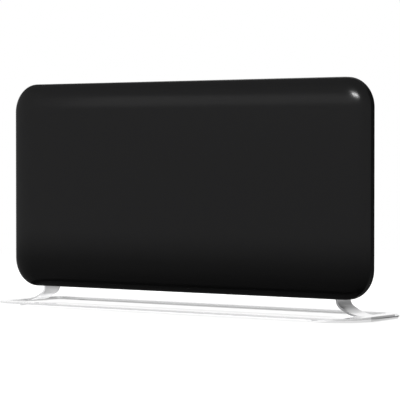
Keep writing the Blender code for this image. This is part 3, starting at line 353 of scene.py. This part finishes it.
def grained(name, colour, smoothest, roughest, metallic=0.0, scale=1000.0, stretch=(1, 1, 1), bump=0.1,
            depth=0.0002, tone=0.1, specular=0.5):
    """A material whose colour, roughness and relief come from the surface_grain group."""
    made, tree, shader = finish(name, colour, smoothest, metallic, specular)
    values = {"Stretch": stretch, "Scale": scale, "Smoothest": smoothest, "Roughest": roughest, "Bump": bump,
              "Depth": depth, "Colour": (*colour, 1.0), "Tone": tone}
    grain = add_node(tree, "Group", values, None, node_tree=surface_grain)
    feed(tree, shader.inputs, {"Base Color": grain["Colour"], "Roughness": grain["Roughness"],
                               "Normal": grain["Normal"]})
    return made


def own_axes(tree):
    """X, Y and Z of a point in the piece's own frame."""
    return add_node(tree, "SeparateXYZ", [add_node(tree, "TexCoord", out="Object")], None)


def leg_outline():
    """Side view of a leg: flat in the end bar, up a slope, then upright."""
    steps = 14
    slope = math.pi - math.atan2(leg_rise, leg_run)
    middle = [(stand_l / 2 - end_bar / 2, plate_mid, 0.0, 1.0)]
    for x, z, start, end, radius in ((leg_mid + leg_run, plate_mid, math.pi, slope, lower_bend),
                                     (leg_mid, plate_mid + leg_rise, slope, math.pi / 2, upper_bend)):
        reach = radius * math.tan((start - end) / 2)
        centre_x = x - reach * math.cos(start) + radius * math.sin(start)
        centre_z = z - reach * math.sin(start) - radius * math.cos(start)
        for i in range(steps + 1):
            heading = start + (end - start) * i / steps
            nx, nz = math.sin(heading), -math.cos(heading)
            middle.append((centre_x - radius * nx, centre_z - radius * nz, nx, nz))
    middle.append((leg_mid, stand_high[2], 1.0, 0.0))
    half = plate_thick / 2
    upper = [(x + nx * half, z + nz * half) for x, z, nx, nz in middle]
    lower = [(x - nx * half, z - nz * half) for x, z, nx, nz in middle]
    return upper + lower[::-1]


flat_bright, shaded_bend_colour = (0.93, 0.93, 0.935), (0.5, 0.5, 0.505)
flat_smooth, bent_smooth = 0.06, 0.36
dull_low, dull_high = plate_top + 0.0005, plate_top + 0.006
bent_low, bent_high = plate_top + 0.0065, plate_top + 0.0145
polished_steel = grained("polished_steel", flat_bright, flat_smooth, 0.11, metallic=1.0, scale=1.0,
                         stretch=(30, 1800, 500), bump=0.04, depth=0.0001, tone=0.08)
tree = polished_steel.node_tree
height = own_axes(tree)["Z"]
dull = ramp(tree, height, dull_low, dull_high, flat_smooth, bent_smooth, "LINEAR")
# Painted shade: the colour goes darker up the bends and legs, while the roughness also rises there.
bend_shade = ramp(tree, height, bent_low, bent_high)
feed(tree, tree.nodes["Group"].inputs, {"Smoothest": dull, "Roughest": maths(tree, "MULTIPLY", dull, 1.5),
                                        "Colour": colour_mix(tree, bend_shade, flat_bright, shaded_bend_colour)})
rolled_edge = grained("rolled_edge", (0.68, 0.68, 0.685), 0.22, 0.32, metallic=1.0, scale=1.0,
                      stretch=(60, 60, 1500), bump=0.1, depth=0.0001, tone=0.1)
# Painted shade: the right-hand leg's cut edges are painted dark; the left-hand leg's same edges stay paler.
shaded_cut_edge = grained("shaded_cut_edge", (0.22, 0.22, 0.225), 0.3, 0.4, metallic=1.0, scale=1.0, stretch=(60, 1500, 60),
                   bump=0.1, depth=0.0001, tone=0.1)
# Painted reflection: each sawn end is painted bright at its front, with its grey behind.
reflection_bright, sawn_grey = (0.8, 0.8, 0.805), (0.42, 0.42, 0.425)
reflection_until, sawn_from = -0.034, -0.029
sawn_end = grained("sawn_end", sawn_grey, 0.3, 0.45, metallic=1.0, scale=1.0, stretch=(900, 900, 60),
                   bump=0.15, depth=0.0001, tone=0.2)
tree = sawn_end.node_tree
sawn = ramp(tree, own_axes(tree)["Y"], reflection_until, sawn_from, kind="LINEAR")
feed(tree, tree.nodes["Group"].inputs, {"Colour": colour_mix(tree, sawn, reflection_bright, sawn_grey)})

plate_outline = rounded_rectangle(stand_l, stand_d, stand_corner, 48)
slot_outline = rounded_rectangle(stand_l - 2 * end_bar, stand_d - 2 * side_bar, slot_corner, 36)
ring = flat_plate([plate_outline, slot_outline], plate_thick)
ring.transform(MOVE((0, 0, plate_mid)))
leg = flat_plate([leg_outline()], leg_w)
stand_mesh = combined(ring, [(leg, UPRIGHT), (leg.copy(), ABOUT @ UPRIGHT)], "UNION")
hole = disc(bolt_hole_r, 24, 0.02)
holes = [(hole.copy(), MOVE((side * leg_mid, y, z)) @ SIDEWAYS) for side in (-1, 1)
         for _, y, z in (middle_of("leg_bolt_right_1"), middle_of("leg_bolt_right_2"))]
stand_mesh = combined(stand_mesh, holes, "DIFFERENCE")
stand_finishes = (polished_steel, rolled_edge, sawn_end, shaded_cut_edge)
for stand_finish in stand_finishes:
    stand_mesh.materials.append(stand_finish)
end_face = stand_l / 2 - 0.001
leg_end = 0.42
for face in stand_mesh.polygons:
    x, _, z = face.center
    across, along, up = [abs(side) for side in face.normal]
    upright = up < 0.5 and z < plate_top
    if upright and across > 0.999 and abs(x) > end_face:
        stand_finish = sawn_end
    # Painted shade on the right-hand leg's cut edges only.
    elif along > 0.7 and z > plate_top and 0 < x < leg_end:
        stand_finish = shaded_cut_edge
    elif along > 0.7 or upright and (along > 0.1 or abs(x) > stand_l / 2 - end_bar):
        stand_finish = rolled_edge
    else:
        stand_finish = polished_steel
    face.material_index = stand_finishes.index(stand_finish)
stand = place("stand_plate", smooth(stand_mesh), polished_steel, "stand")
soften(stand, 0.0003)


# Foot pads: four discs of cloudy clear silicone, so that the stand neither slides nor scratches.
# They are stuck under the plate, near its corners, and leave a thin gap below it.
clear_silicone = grained("clear_silicone", (0.78, 0.79, 0.79), 0.45, 0.6, scale=900.0, bump=0.1, tone=0.08)


def dress(material, *names, edge=0.0):
    """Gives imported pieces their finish, and breaks their corners where the edge isn't 0."""
    for name in names:
        node = nodes[name]
        for holder in node.material_slots:
            holder.material = material
        if edge:
            soften(node, edge)


dress(clear_silicone, "foot_pad_front_left", "foot_pad_front_right", "foot_pad_back_left",
      "foot_pad_back_right", edge=0.0002)


# Paper: the white sweep that the heater stands on. Camera, mirror and glass rays see it almost white, with
# the heater's soft shadow left on it, and a painted contact shadow close to the plate's edges.
def contact_group():
    """The paper's tone at a place: 1, less a painted contact shadow by a strength near the plate's edges.

    Outside the plate the strength is Left as far as its right-hand front corner, Corner round that corner,
    and End from there to the back corner. In the slot it is Slot, along the back bar.
    """
    group, given, result = node_group(
        "contact_shade",
        [("Place", "Vector", (0, 0, 0)), ("Reach", "Float", 0.032), ("Left", "Float", 0.13),
         ("Corner", "Float", 0.32), ("End", "Float", 0.48), ("Slot", "Float", 0.42)],
        [("Tone", "Float")])
    corner_middle = (stand_l / 2 - stand_corner, stand_d / 2 - stand_corner, 0.0)
    slot_half_l, slot_half_d = stand_l / 2 - end_bar, stand_d / 2 - side_bar
    full_until, slot_reach, bar_hidden = 0.018, 0.05, 0.027
    left_until, right_from = 0.385, 0.405
    slant = (0.865, 0.502, 0.0)
    corner_until, end_from = 0.3725, 0.3745
    fade_from, fade_until = 0.425, 0.4265

    def times(*factors):
        product = factors[0]
        for factor in factors[1:]:
            product = maths(group, "MULTIPLY", product, factor)
        return product

    x, y, _ = add_node(group, "SeparateXYZ", [given["Place"]], None)
    level = vector_maths(group, "MULTIPLY", given["Place"], (1.0, 1.0, 0.0))
    folded = vector_maths(group, "ABSOLUTE", level)
    past = vector_maths(group, "SUBTRACT", folded, corner_middle)
    past = vector_maths(group, "MAXIMUM", past, (0.0, 0.0, 0.0))
    outward = maths(group, "SUBTRACT", vector_maths(group, "LENGTH", past), stand_corner)
    slanted = vector_maths(group, "DOT_PRODUCT", given["Place"], slant)
    right_end = ramp(group, slanted, corner_until, end_from, given["Corner"], given["End"])
    outside = times(ramp(group, outward, full_until, given["Reach"], 1.0, 0.0),
                    maths(group, "GREATER_THAN", outward, -side_bar),
                    ramp(group, x, left_until, right_from, given["Left"], right_end),
                    ramp(group, slanted, fade_from, fade_until, 1.0, 0.0))
    folded_x, folded_y, _ = add_node(group, "SeparateXYZ", [folded], None)
    inward = maths(group, "MINIMUM", maths(group, "SUBTRACT", slot_half_l, folded_x),
                   maths(group, "SUBTRACT", slot_half_d, folded_y))
    inside = times(ramp(group, inward, 0.0, slot_reach, 1.0, 0.0),
                   maths(group, "GREATER_THAN", inward, -bar_hidden),
                   ramp(group, y, -slot_reach, slot_reach, 0.0, given["Slot"]))
    feed(group, result, {"Tone": maths(group, "SUBTRACT", 1.0, maths(group, "ADD", outside, inside))})
    return group


paper_white = (0.8, 0.8, 0.8, 1.0)
paper_glow, paper_matt = 0.69, 0.85
near_until, far_from = 0.7, 2.6
floor_r = 25.0
paper = bpy.data.materials.new("studio_paper")
paper.use_nodes = True
tree = paper.node_tree
tree.nodes.clear()
rays = add_node(tree, "LightPath", out=None)
seen = maths(tree, "MAXIMUM", rays["Is Camera Ray"], rays["Is Glossy Ray"])
seen = maths(tree, "MAXIMUM", seen, rays["Is Transmission Ray"])
where = add_node(tree, "TexCoord", out="Object")
# Painted contact shadow round the stand.
contact = add_node(tree, "Group", {"Place": where}, "Tone", node_tree=contact_group())
curtain = add_node(tree, "Group", {"Direction": where}, "Tone", node_tree=studio_curtain)
matt = add_node(tree, "BsdfDiffuse", {"Color": paper_white})
faint = add_node(tree, "BsdfDiffuse", {"Color": maths(tree, "MULTIPLY", contact, paper_matt)})
glow = add_node(tree, "Emission", {"Strength": maths(tree, "MULTIPLY", contact, paper_glow)})
near = add_node(tree, "AddShader", [faint, glow])
far = add_node(tree, "Emission", {"Strength": curtain})
distance = vector_maths(tree, "LENGTH", where)
sweep = add_node(tree, "MixShader", [ramp(tree, distance, near_until, far_from), near, far])
either = add_node(tree, "MixShader", [seen, matt, sweep])
tree.links.new(either, tree.nodes.new("ShaderNodeOutputMaterial").inputs[0])
bm = bmesh.new()
bmesh.ops.create_circle(bm, cap_ends=True, radius=floor_r, segments=64)
floor_mesh = bpy.data.meshes.new("studio_floor")
bm.to_mesh(floor_mesh)
bm.free()
floor_mesh.materials.append(paper)
floor = bpy.data.objects.new("studio_floor", floor_mesh)
scene.collection.objects.link(floor)


# Leg brackets and bolts: bent steel angles inside the cover, which hold the upright ends of the legs.
# They are bright zinc plated, and two bolts go through each leg.
bright_zinc = grained("bright_zinc", (0.62, 0.64, 0.67), 0.22, 0.42, metallic=1.0, scale=500.0, bump=0.06,
                      tone=0.2)
dress(bright_zinc, "leg_bracket_left", "leg_bracket_right", edge=0.0004)
dress(bright_zinc, "leg_bolt_left_1", "leg_bolt_left_2", "leg_bolt_right_1", "leg_bolt_right_2", edge=0.0002)


# Rear cover: folded steel pan with rounded back edges, a flat flange all round, and rows of air slots.
# Satin black powder coat, which leaves a fine even orange peel.
cover_low, cover_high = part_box("rear_cover")
panel_low, panel_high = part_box("front_panel")
panel_w = panel_high[0] - panel_low[0]
panel_h = panel_high[2] - panel_low[2]
panel_corner = 0.0595
panel_sheet = 0.0012
panel_mid = (panel_low[2] + panel_high[2]) / 2
cover_sheet = 0.001
cover_edge = 0.008
pan_side, pan_below, pan_above = 0.046, 0.0147, 0.0213
pan_w = panel_w - 2 * pan_side
pan_low = panel_low[2] + pan_below
pan_high = panel_high[2] - pan_above
pan_mid = (pan_low + pan_high) / 2
pan_corner = 0.030
vent_l, vent_h, vent_corner = 0.040, 0.0045, 0.00224
vent_pitch, vent_step, vent_drop = 0.054, 0.010, 0.022
notch_h, notch_below, notch_room = 0.021, 0.0085, 0.0012
opening_size = (0.008, 0.031, 0.105)
gland_hole_r = 0.0063
cut_depth = 0.006


def crowned_sheet(width, height, corner, edge_width, edge_rise, skirt, facing, rings, steps):
    """A pressed sheet whose edge curves back into a skirt. facing is -1 for -Y and 1 for +Y."""
    bm = bmesh.new()
    face = bm.faces.new([bm.verts.new((x, 0, z)) for x, z in rounded_rectangle(width, height, corner, steps)])
    face.normal_update()
    if face.normal.y * facing < 0:
        face.normal_flip()
    inset = rise = 0.0
    for ring_number in range(1, rings + 1):
        angle = math.pi / 2 * ring_number / rings
        new_inset = edge_width * (1 - math.cos(angle))
        new_rise = edge_rise * math.sin(angle)
        bmesh.ops.inset_region(bm, faces=[face], thickness=new_inset - inset, depth=new_rise - rise,
                               use_even_offset=True, use_boundary=True)
        inset, rise = new_inset, new_rise
    wall = bmesh.ops.extrude_edge_only(bm, edges=[e for e in bm.edges if e.is_boundary])
    moved = [v for v in wall["geom"] if isinstance(v, bmesh.types.BMVert)]
    bmesh.ops.translate(bm, verts=moved, vec=(0, -facing * skirt, 0))
    bmesh.ops.recalc_face_normals(bm, faces=bm.faces)
    if face.normal.y * facing < 0:
        bmesh.ops.reverse_faces(bm, faces=bm.faces)
    mesh = bpy.data.meshes.new("sheet")
    bm.to_mesh(mesh)
    bm.free()
    return mesh


def thickened(mesh, thickness):
    holder = helper(mesh)
    sheet = holder.modifiers.new("sheet", "SOLIDIFY")
    sheet.thickness = thickness
    sheet.offset = -1
    sheet.use_even_offset = True
    return shape_of(holder)


def blocks(sizes):
    """One mesh of boxes, each given as (centre, size)."""
    bm = bmesh.new()
    for centre, size in sizes:
        bmesh.ops.create_cube(bm, size=1.0, matrix=MOVE(centre) @ Matrix.Diagonal((*size, 1.0)))
    mesh = bpy.data.meshes.new("blocks")
    bm.to_mesh(mesh)
    bm.free()
    return mesh


def merged(parts):
    """One mesh of several that lie apart, each given as (mesh, matrix)."""
    bm = bmesh.new()
    for mesh, matrix in parts:
        extra = mesh.copy()
        extra.transform(matrix)
        bm.from_mesh(extra)
        bpy.data.meshes.remove(extra)
    mesh = bpy.data.meshes.new("merged")
    bm.to_mesh(mesh)
    bm.free()
    return mesh


pan_depth = cover_high[1] - cover_low[1]
pan_skirt = pan_depth - cover_edge - cover_sheet / 2
pan = thickened(crowned_sheet(pan_w, pan_high - pan_low, pan_corner, cover_edge, cover_edge, pan_skirt,
                              facing=1, rings=8, steps=16), cover_sheet)
pan.transform(MOVE((0, cover_high[1] - cover_edge, pan_mid)))
room = 2 * (panel_sheet + seat_gap)
flange = flat_plate([rounded_rectangle(panel_w - room, panel_h - room, panel_corner - room / 2, 24),
                     rounded_rectangle(pan_w - cover_sheet, pan_high - pan_low - cover_sheet,
                                       pan_corner - cover_sheet, 15, (0, pan_mid - panel_mid))], cover_sheet)
flange_y = cover_low[1] + cover_sheet / 2
cover_mesh = combined(pan, [(flange, MOVE((0, flange_y, panel_mid)) @ UPRIGHT)], "UNION")
vent = flat_plate([rounded_rectangle(vent_l, vent_h, vent_corner, 6)], cut_depth)
vent_y = (cover_low[1] + cover_high[1]) / 2
vents = []
for column in range(-5, 6):
    x = column * vent_pitch
    for row in range(-1, 2):
        vents += [(vent, MOVE((x, vent_y + row * vent_step, z))) for z in (pan_low, pan_high)]
    for row in range(4):
        vents.append((vent, MOVE((x, cover_high[1], pan_high - vent_drop - row * vent_step)) @ UPRIGHT))
notch_size = (plate_thick + notch_room, leg_w + notch_room, notch_h)
notches = blocks([((side * leg_mid, 0, pan_low - notch_below), notch_size) for side in (-1, 1)])
_, control_y, control_z = middle_of("control_plate")
opening = blocks([((pan_w / 2, control_y, control_z), opening_size)])
gland_x, _, gland_z = middle_of("cord_gland")
gland_hole = disc(gland_hole_r, 32, cut_depth)
gland_at = MOVE((gland_x, cover_high[1], gland_z)) @ UPRIGHT
cover_mesh = combined(cover_mesh, [(merged(vents), Matrix()), (notches, Matrix()), (opening, Matrix()),
                                   (gland_hole, gland_at)], "DIFFERENCE")
powder_black = grained("powder_black", (0.02, 0.02, 0.021), 0.42, 0.54, scale=1400.0, bump=0.35, depth=0.0002,
                       tone=0.3)
place("folded_cover", smooth(cover_mesh), powder_black, "rear_cover")


# Heating element: finned aluminium extrusion clamped round a steel tube element, with a ceramic cap at each
# end. Plated brackets carry it on the cover, and hold a bright sheet between it and the front.
mill_aluminium = grained("mill_aluminium", (0.7, 0.71, 0.72), 0.3, 0.45, metallic=1.0, scale=1.0,
                         stretch=(30, 900, 900), bump=0.12, tone=0.2)
heated_steel = grained("heated_steel", (0.42, 0.38, 0.34), 0.35, 0.5, metallic=1.0, scale=260.0, bump=0.08,
                       tone=0.45)
ceramic = grained("ceramic", (0.83, 0.8, 0.73), 0.4, 0.6, scale=700.0, bump=0.12, tone=0.1)
dress(mill_aluminium, "element_fins", "heat_shield")
dress(heated_steel, "element_rod")
dress(ceramic, "element_cap_left", "element_cap_right", edge=0.0004)
dress(bright_zinc, "element_bracket_left", "element_bracket_right", edge=0.0002)


# Thermal cut-out, thermostat body, terminal block and inner leads: moulded pieces with plated blades, fixed
# inside the cover and joined by leads in silicone sleeves.
ivory_moulding = grained("ivory_moulding", (0.74, 0.72, 0.66), 0.35, 0.5, scale=900.0, bump=0.12, tone=0.08)
brown_sleeve = grained("brown_sleeve", (0.2, 0.09, 0.045), 0.45, 0.6, scale=600.0, bump=0.1, tone=0.2)
blue_sleeve = grained("blue_sleeve", (0.05, 0.13, 0.38), 0.45, 0.6, scale=600.0, bump=0.1, tone=0.2)
dress(ivory_moulding, "thermal_cutout", "terminal_block", "thermostat_body", edge=0.0003)
dress(brown_sleeve, "lead_supply", "lead_bridge", "lead_thermostat", "lead_cutout", "lead_element")
dress(blue_sleeve, "lead_neutral")


# Tip-over switch: a brass weight that hangs on a pin between two moulded cheeks.
# It swings to its stop and cuts the power when the heater tilts.
turned_brass = grained("turned_brass", (0.74, 0.56, 0.27), 0.22, 0.36, metallic=1.0, scale=1.0,
                       stretch=(2200, 60, 60), bump=0.1, tone=0.15)
dress(ivory_moulding, "tip_switch_housing", edge=0.0003)
dress(turned_brass, "tip_pendulum", edge=0.0003)
dress(bright_zinc, "tip_pin")


# Control plate on the right-hand wall of the cover, with the thermostat knob, a pilot lens and two rockers.
# Black mouldings with a fine spark-eroded texture, and pale printed ticks round the knob.
black_moulding = grained("black_moulding", (0.028, 0.028, 0.03), 0.38, 0.5, scale=2200.0, bump=0.3,
                         depth=0.0001, tone=0.25)
gloss_moulding = grained("gloss_moulding", (0.02, 0.02, 0.021), 0.12, 0.2, scale=500.0, bump=0.03, tone=0.2)
pale_print = grained("pale_print", (0.8, 0.8, 0.79), 0.5, 0.6, scale=900.0, bump=0.02, tone=0.06)


def turned(profile, steps, closed=False):
    """A shape turned about its Z axis from (radius, height) points down its outer side."""
    bm = bmesh.new()
    line = [bm.verts.new((r, 0, h)) for r, h in profile]
    edges = [bm.edges.new((a, b)) for a, b in zip(line, line[1:])]
    if closed:
        edges.append(bm.edges.new((line[-1], line[0])))
    bmesh.ops.spin(bm, geom=line + edges, cent=(0, 0, 0), axis=(0, 0, 1), angle=2 * math.pi, steps=steps,
                   use_merge=True)
    bmesh.ops.remove_doubles(bm, verts=bm.verts, dist=0.000001)
    bmesh.ops.dissolve_degenerate(bm, edges=bm.edges, dist=0.000001)
    bmesh.ops.recalc_face_normals(bm, faces=bm.faces)
    mesh = bpy.data.meshes.new("turned")
    bm.to_mesh(mesh)
    bm.free()
    return mesh


def fluted(mesh, count, depth, inner, outer=math.inf, low=-math.inf, high=math.inf):
    """Draws even flutes into a turned shape, between two radii and two heights."""
    for vert in mesh.vertices:
        x, y, z = vert.co
        if inner < math.hypot(x, y) < outer and low < z < high:
            flute = 1 - depth * (0.5 + 0.5 * math.cos(count * math.atan2(y, x)))
            vert.co.x *= flute
            vert.co.y *= flute
    return mesh


dress(black_moulding, "control_plate", edge=0.0006)
plate_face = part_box("control_plate")[1][0]
print_lift = 0.00012
knob_low, knob_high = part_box("thermostat_knob")
_, knob_y, knob_z = middle_of("thermostat_knob")
knob_skirt = (knob_high[1] - knob_low[1]) / 2
knob_h = 0.013
knob_grip = 0.012
bore_r, bore_top = 0.0033, knob_h - 0.0025
profile = [(0, knob_h - 0.0006), (0.0055, knob_h - 0.0006), (0.0075, knob_h), (knob_grip - 0.0014, knob_h),
           (knob_grip - 0.0004, knob_h - 0.0005), (knob_grip, knob_h - 0.0016), (knob_grip + 0.0005, 0.0052),
           (knob_grip + 0.0012, 0.0042), (knob_skirt - 0.0012, 0.0036), (knob_skirt - 0.0002, 0.0030),
           (knob_skirt, 0.0022), (knob_skirt, 0), (bore_r, 0), (bore_r, bore_top), (0, bore_top)]
knob_mesh = fluted(turned(profile, 96), 24, 0.035, 0.0105, 0.0136, low=0.0045)
place("knob", smooth(knob_mesh, 40), black_moulding, "thermostat_knob",
      (knob_low[0], knob_y, knob_z), TO_X, "knob")
pointer_size, pointer_reach = (0.0006, 0.0012, 0.0085), 0.0064
pointer = place("knob_pointer", blocks([((0, 0, 0), pointer_size)]), pale_print, None,
                (knob_low[0] + knob_h + 0.0001, knob_y, knob_z + pointer_reach), None, "knob")
soften(pointer, 0.0002)
dress(bright_zinc, "thermostat_shaft")
tick_step, tick_gap, tick_w, tick_thick = 45, 0.0006, 0.0008, 0.0002
shortest_tick, tick_growth = 0.0012, 0.0003
ticks = []
for number in range(7):
    angle = math.radians(90 - tick_step * number)
    length = shortest_tick + tick_growth * number
    reach = knob_skirt + tick_gap + length / 2
    turn = MOVE((0, reach * math.cos(angle), reach * math.sin(angle))) @ Matrix.Rotation(angle, 4, "X")
    ticks.append((blocks([((0, 0, 0), (tick_thick, length, tick_w))]), turn))
place("knob_ticks", merged(ticks), pale_print, None,
      (plate_face + print_lift, knob_y, knob_z))

lens_red, tree, shader = finish("lens_red", (0.5, 0.02, 0.012), 0.08)
shader.inputs["Transmission Weight"].default_value = 0.35
shader.inputs["Coat Weight"].default_value = 0.5
cloud = add_node(tree, "TexNoise", {"Scale": 400.0})
feed(tree, shader.inputs, {"Base Color": colour_mix(tree, cloud, (0.55, 0.025, 0.014), (0.4, 0.012, 0.008))})
lens_low, lens_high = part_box("indicator_lens")
_, lens_y, lens_z = middle_of("indicator_lens")
lens_r = (lens_high[1] - lens_low[1]) / 2
lens_mesh = turned([(0, 0.0026), (0.0012, 0.0025), (0.0023, 0.0021), (0.0031, 0.0015), (0.0035, 0.0009),
                    (lens_r, 0.0007), (lens_r, 0), (0.003, 0), (0.003, -0.010), (0, -0.010)], 48)
place("pilot_lens", smooth(lens_mesh), lens_red, "indicator_lens",
      (plate_face + seat_gap, lens_y, lens_z), TO_X)

rocker_w, rocker_dish, rocker_nose, rocker_heel = 0.0098, 0.0014, 0.0015, 0.45
frame_lip, pivot_depth = 0.0012, 0.0045
mark_tilt, mark_reach, mark_sink = math.radians(12), 0.62, 0.00055
for name in ("power", "heat"):
    dress(gloss_moulding, f"{name}_switch", edge=0.0004)
    rocker_low, rocker_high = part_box(f"{name}_rocker")
    rocker_z = middle_of(f"{name}_rocker")[2]
    half = (rocker_high[2] - rocker_low[2]) / 2
    deep = rocker_high[0] - rocker_low[0]
    steps = 20
    outline = []
    for i in range(steps + 1):
        t = -1 + 2 * i / steps
        outline.append((-rocker_dish * (1 - t * t), half * t))
    outline += [(rocker_nose - deep, half), (-deep, half * rocker_heel), (-deep, -half * rocker_heel),
                (rocker_nose - deep, -half)]
    rocker_mesh = flat_plate([outline], rocker_w)
    pivot_x = plate_face + seat_gap + frame_lip - pivot_depth
    rocker_mesh.transform(MOVE((rocker_high[0] - pivot_x, 0, 0)))
    rocker = place(f"{name}_key", smooth(rocker_mesh), gloss_moulding, f"{name}_rocker",
                   (pivot_x, control_y, rocker_z), UPRIGHT, f"{name}_rocker")
    soften(rocker, 0.0006, 3)
    bar = blocks([((0, 0, 0), (0.0003, 0.0009, 0.0032))])
    loop = turned([(0.0017, 0.00015), (0.0017, -0.00015), (0.0010, -0.00015), (0.0010, 0.00015)], 32,
                  closed=True)
    for state, mark, end, lie in (("on", bar, 1, Matrix()), ("off", loop, -1, TO_X)):
        place(f"{name}_{state}_mark", mark, pale_print, None,
              (rocker_high[0] - mark_sink, control_y, rocker_z + end * half * mark_reach),
              Matrix.Rotation(-end * mark_tilt, 4, "Y") @ lie, f"{name}_rocker")


# Gland: black moulding with a ribbed collar, put in from behind and held by a nut inside the cover.
# A mains lead enters the heater through it.
bore, collar, stem, nose = 0.00375, 0.0085, 0.006, 0.012
profile = [(bore, nose), (0.0058, nose), (0.0064, nose - 0.0006), (collar * 0.86, 0.0055), (collar, 0.0040),
           (collar, 0.0), (stem, 0.0), (stem, -0.010), (bore, -0.010)]
gland_mesh = fluted(turned(profile, 72, closed=True), 18, 0.05, 0.0064, high=0.0056)
place("gland", smooth(gland_mesh, 40), black_moulding, "cord_gland",
      (gland_x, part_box("cord_gland")[1][1] - nose, gland_z), TO_Y)
dress(black_moulding, "gland_nut", edge=0.0004)


# Front panel: pressed steel sheet with a crowned edge and a narrow return, stove-lacquered gloss black.
# The lacquer is painted darker as shade towards the lower edge, round the rim, at the two sides and on the
# return.
panel_return = 0.013
crown_w = 0.058
crest_y = panel_high[1] - panel_return
painted_shade_black, even_black = (0.0022, 0.0022, 0.0023), (0.0248, 0.0248, 0.0253)
low_from, low_until = -0.195, -0.085
rim_from, rim_until = 0.001, -0.005
left_from, left_until, left_share = -0.4455, -0.434, 0.2
right_from, right_until, right_shift = 0.41, 0.435, 0.003
lacquer, tree, shader = finish("black_lacquer", (0.006, 0.006, 0.0065), 0.15, specular=0.035)
where = add_node(tree, "TexCoord", out="Object")
x, y, z = add_node(tree, "SeparateXYZ", [where], None)
# Painted shade: darker towards the lower edge, round the crowned rim and at the two sides.
raised = ramp(tree, z, low_from, low_until)
right_rim = ramp(tree, x, right_from, right_until, 0.0, right_shift, "LINEAR")
flat = ramp(tree, maths(tree, "SUBTRACT", y, right_rim), rim_from, rim_until)
left_rim = ramp(tree, x, left_from, left_until, left_share, 1.0, "LINEAR")
share = maths(tree, "MULTIPLY", maths(tree, "MULTIPLY", raised, flat), left_rim)
peel = add_node(tree, "TexNoise", {"Vector": where, "Scale": 220.0, "Detail": 1.0})
feed(tree, shader.inputs, {
    "Base Color": colour_mix(tree, share, painted_shade_black, even_black),
    "Normal": add_node(tree, "Bump", {"Height": peel, "Strength": 0.05, "Distance": 0.0001})})
# Painted shade: the return is a darker, rougher copy of the lacquer.
shaded_return_lacquer = grained("shaded_return_lacquer", (0.0015, 0.0015, 0.0016), 0.5, 0.65, scale=900.0, bump=0.1,
                         tone=0.2, specular=0.03)

crown_rise = crest_y - panel_low[1]
front_mesh = thickened(crowned_sheet(panel_w, panel_h, panel_corner, crown_w, crown_rise, panel_return,
                                     facing=-1, rings=20, steps=24), panel_sheet)
front_mesh.transform(MOVE((0, crest_y, panel_mid)))
tab_long, tab_short, tab_shift, tab_hole_r = 0.016, 0.0135, 0.00025, 0.0018
side_band = 0.02
tab_y = cover_low[1] - seat_gap - panel_sheet / 2
tab_hole = disc(tab_hole_r, 24, cut_depth)
tabs = []
tab_holes = []
for number in range(1, 9):
    x, _, z = middle_of(f"cover_screw_{number}")
    tab_holes.append((tab_hole, MOVE((x, tab_y, z)) @ UPRIGHT))
    if abs(x) > panel_w / 2 - side_band:
        centre = (x + math.copysign(tab_shift, x), tab_y, z)
        tabs.append((centre, (tab_short, panel_sheet, tab_long)))
    else:
        centre = (x, tab_y, z + math.copysign(tab_shift, z - panel_mid))
        tabs.append((centre, (tab_long, panel_sheet, tab_short)))
front_mesh = combined(front_mesh, [(blocks(tabs), Matrix())], "UNION")
front_mesh = combined(front_mesh, [(merged(tab_holes), Matrix()), (notches, Matrix())], "DIFFERENCE")
front_mesh.transform(MOVE((0, -crest_y, -panel_mid)))
front_mesh.materials.append(lacquer)
front_mesh.materials.append(shaded_return_lacquer)
return_from = 0.0002
for face in front_mesh.polygons:
    face.material_index = 1 if face.center.y > return_from else 0
front = place("front_sheet", smooth(front_mesh), lacquer, "front_panel",
              (0, crest_y, panel_mid))
even = front.modifiers.new("even", "WEIGHTED_NORMAL")
even.keep_sharp = True


# Screws: pan-head screws with a cross recess, bright zinc plated. Eight hold the cover to the front's tabs,
# four the element's brackets and two the control plate.
head_h = 0.0022


def cross_screw(length):
    head_r, shank_r = 0.0032, 0.0015
    recess_l, recess_w, recess_h = 0.0032, 0.0008, 0.0024
    mesh = turned([(0, head_h), (head_r * 0.45, 0.0021), (head_r * 0.75, 0.0017), (head_r * 0.94, 0.0010),
                   (head_r, 0.0004), (head_r, 0), (shank_r, 0), (shank_r, -length), (0, -length)], 32)
    bars = [(blocks([((0, 0, head_h), size)]), Matrix())
            for size in ((recess_l, recess_w, recess_h), (recess_w, recess_l, recess_h))]
    return smooth(combined(mesh, bars, "DIFFERENCE"))


screw_meshes = {"cover": cross_screw(0.009), "element": cross_screw(0.006), "plate": cross_screw(0.008)}
for name in sorted(nodes):
    kind, _, number = name.partition("_screw_")
    if kind in screw_meshes and number:
        x, y, z = middle_of(name)
        _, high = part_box(name)
        if kind == "plate":
            seat, turn = (high[0] - head_h, y, z), TO_X
        else:
            seat, turn = (x, high[1] - head_h, z), TO_Y
        place(f"{kind}_cross_screw_{number}", screw_meshes[kind].copy(), bright_zinc, name,
              seat, turn)
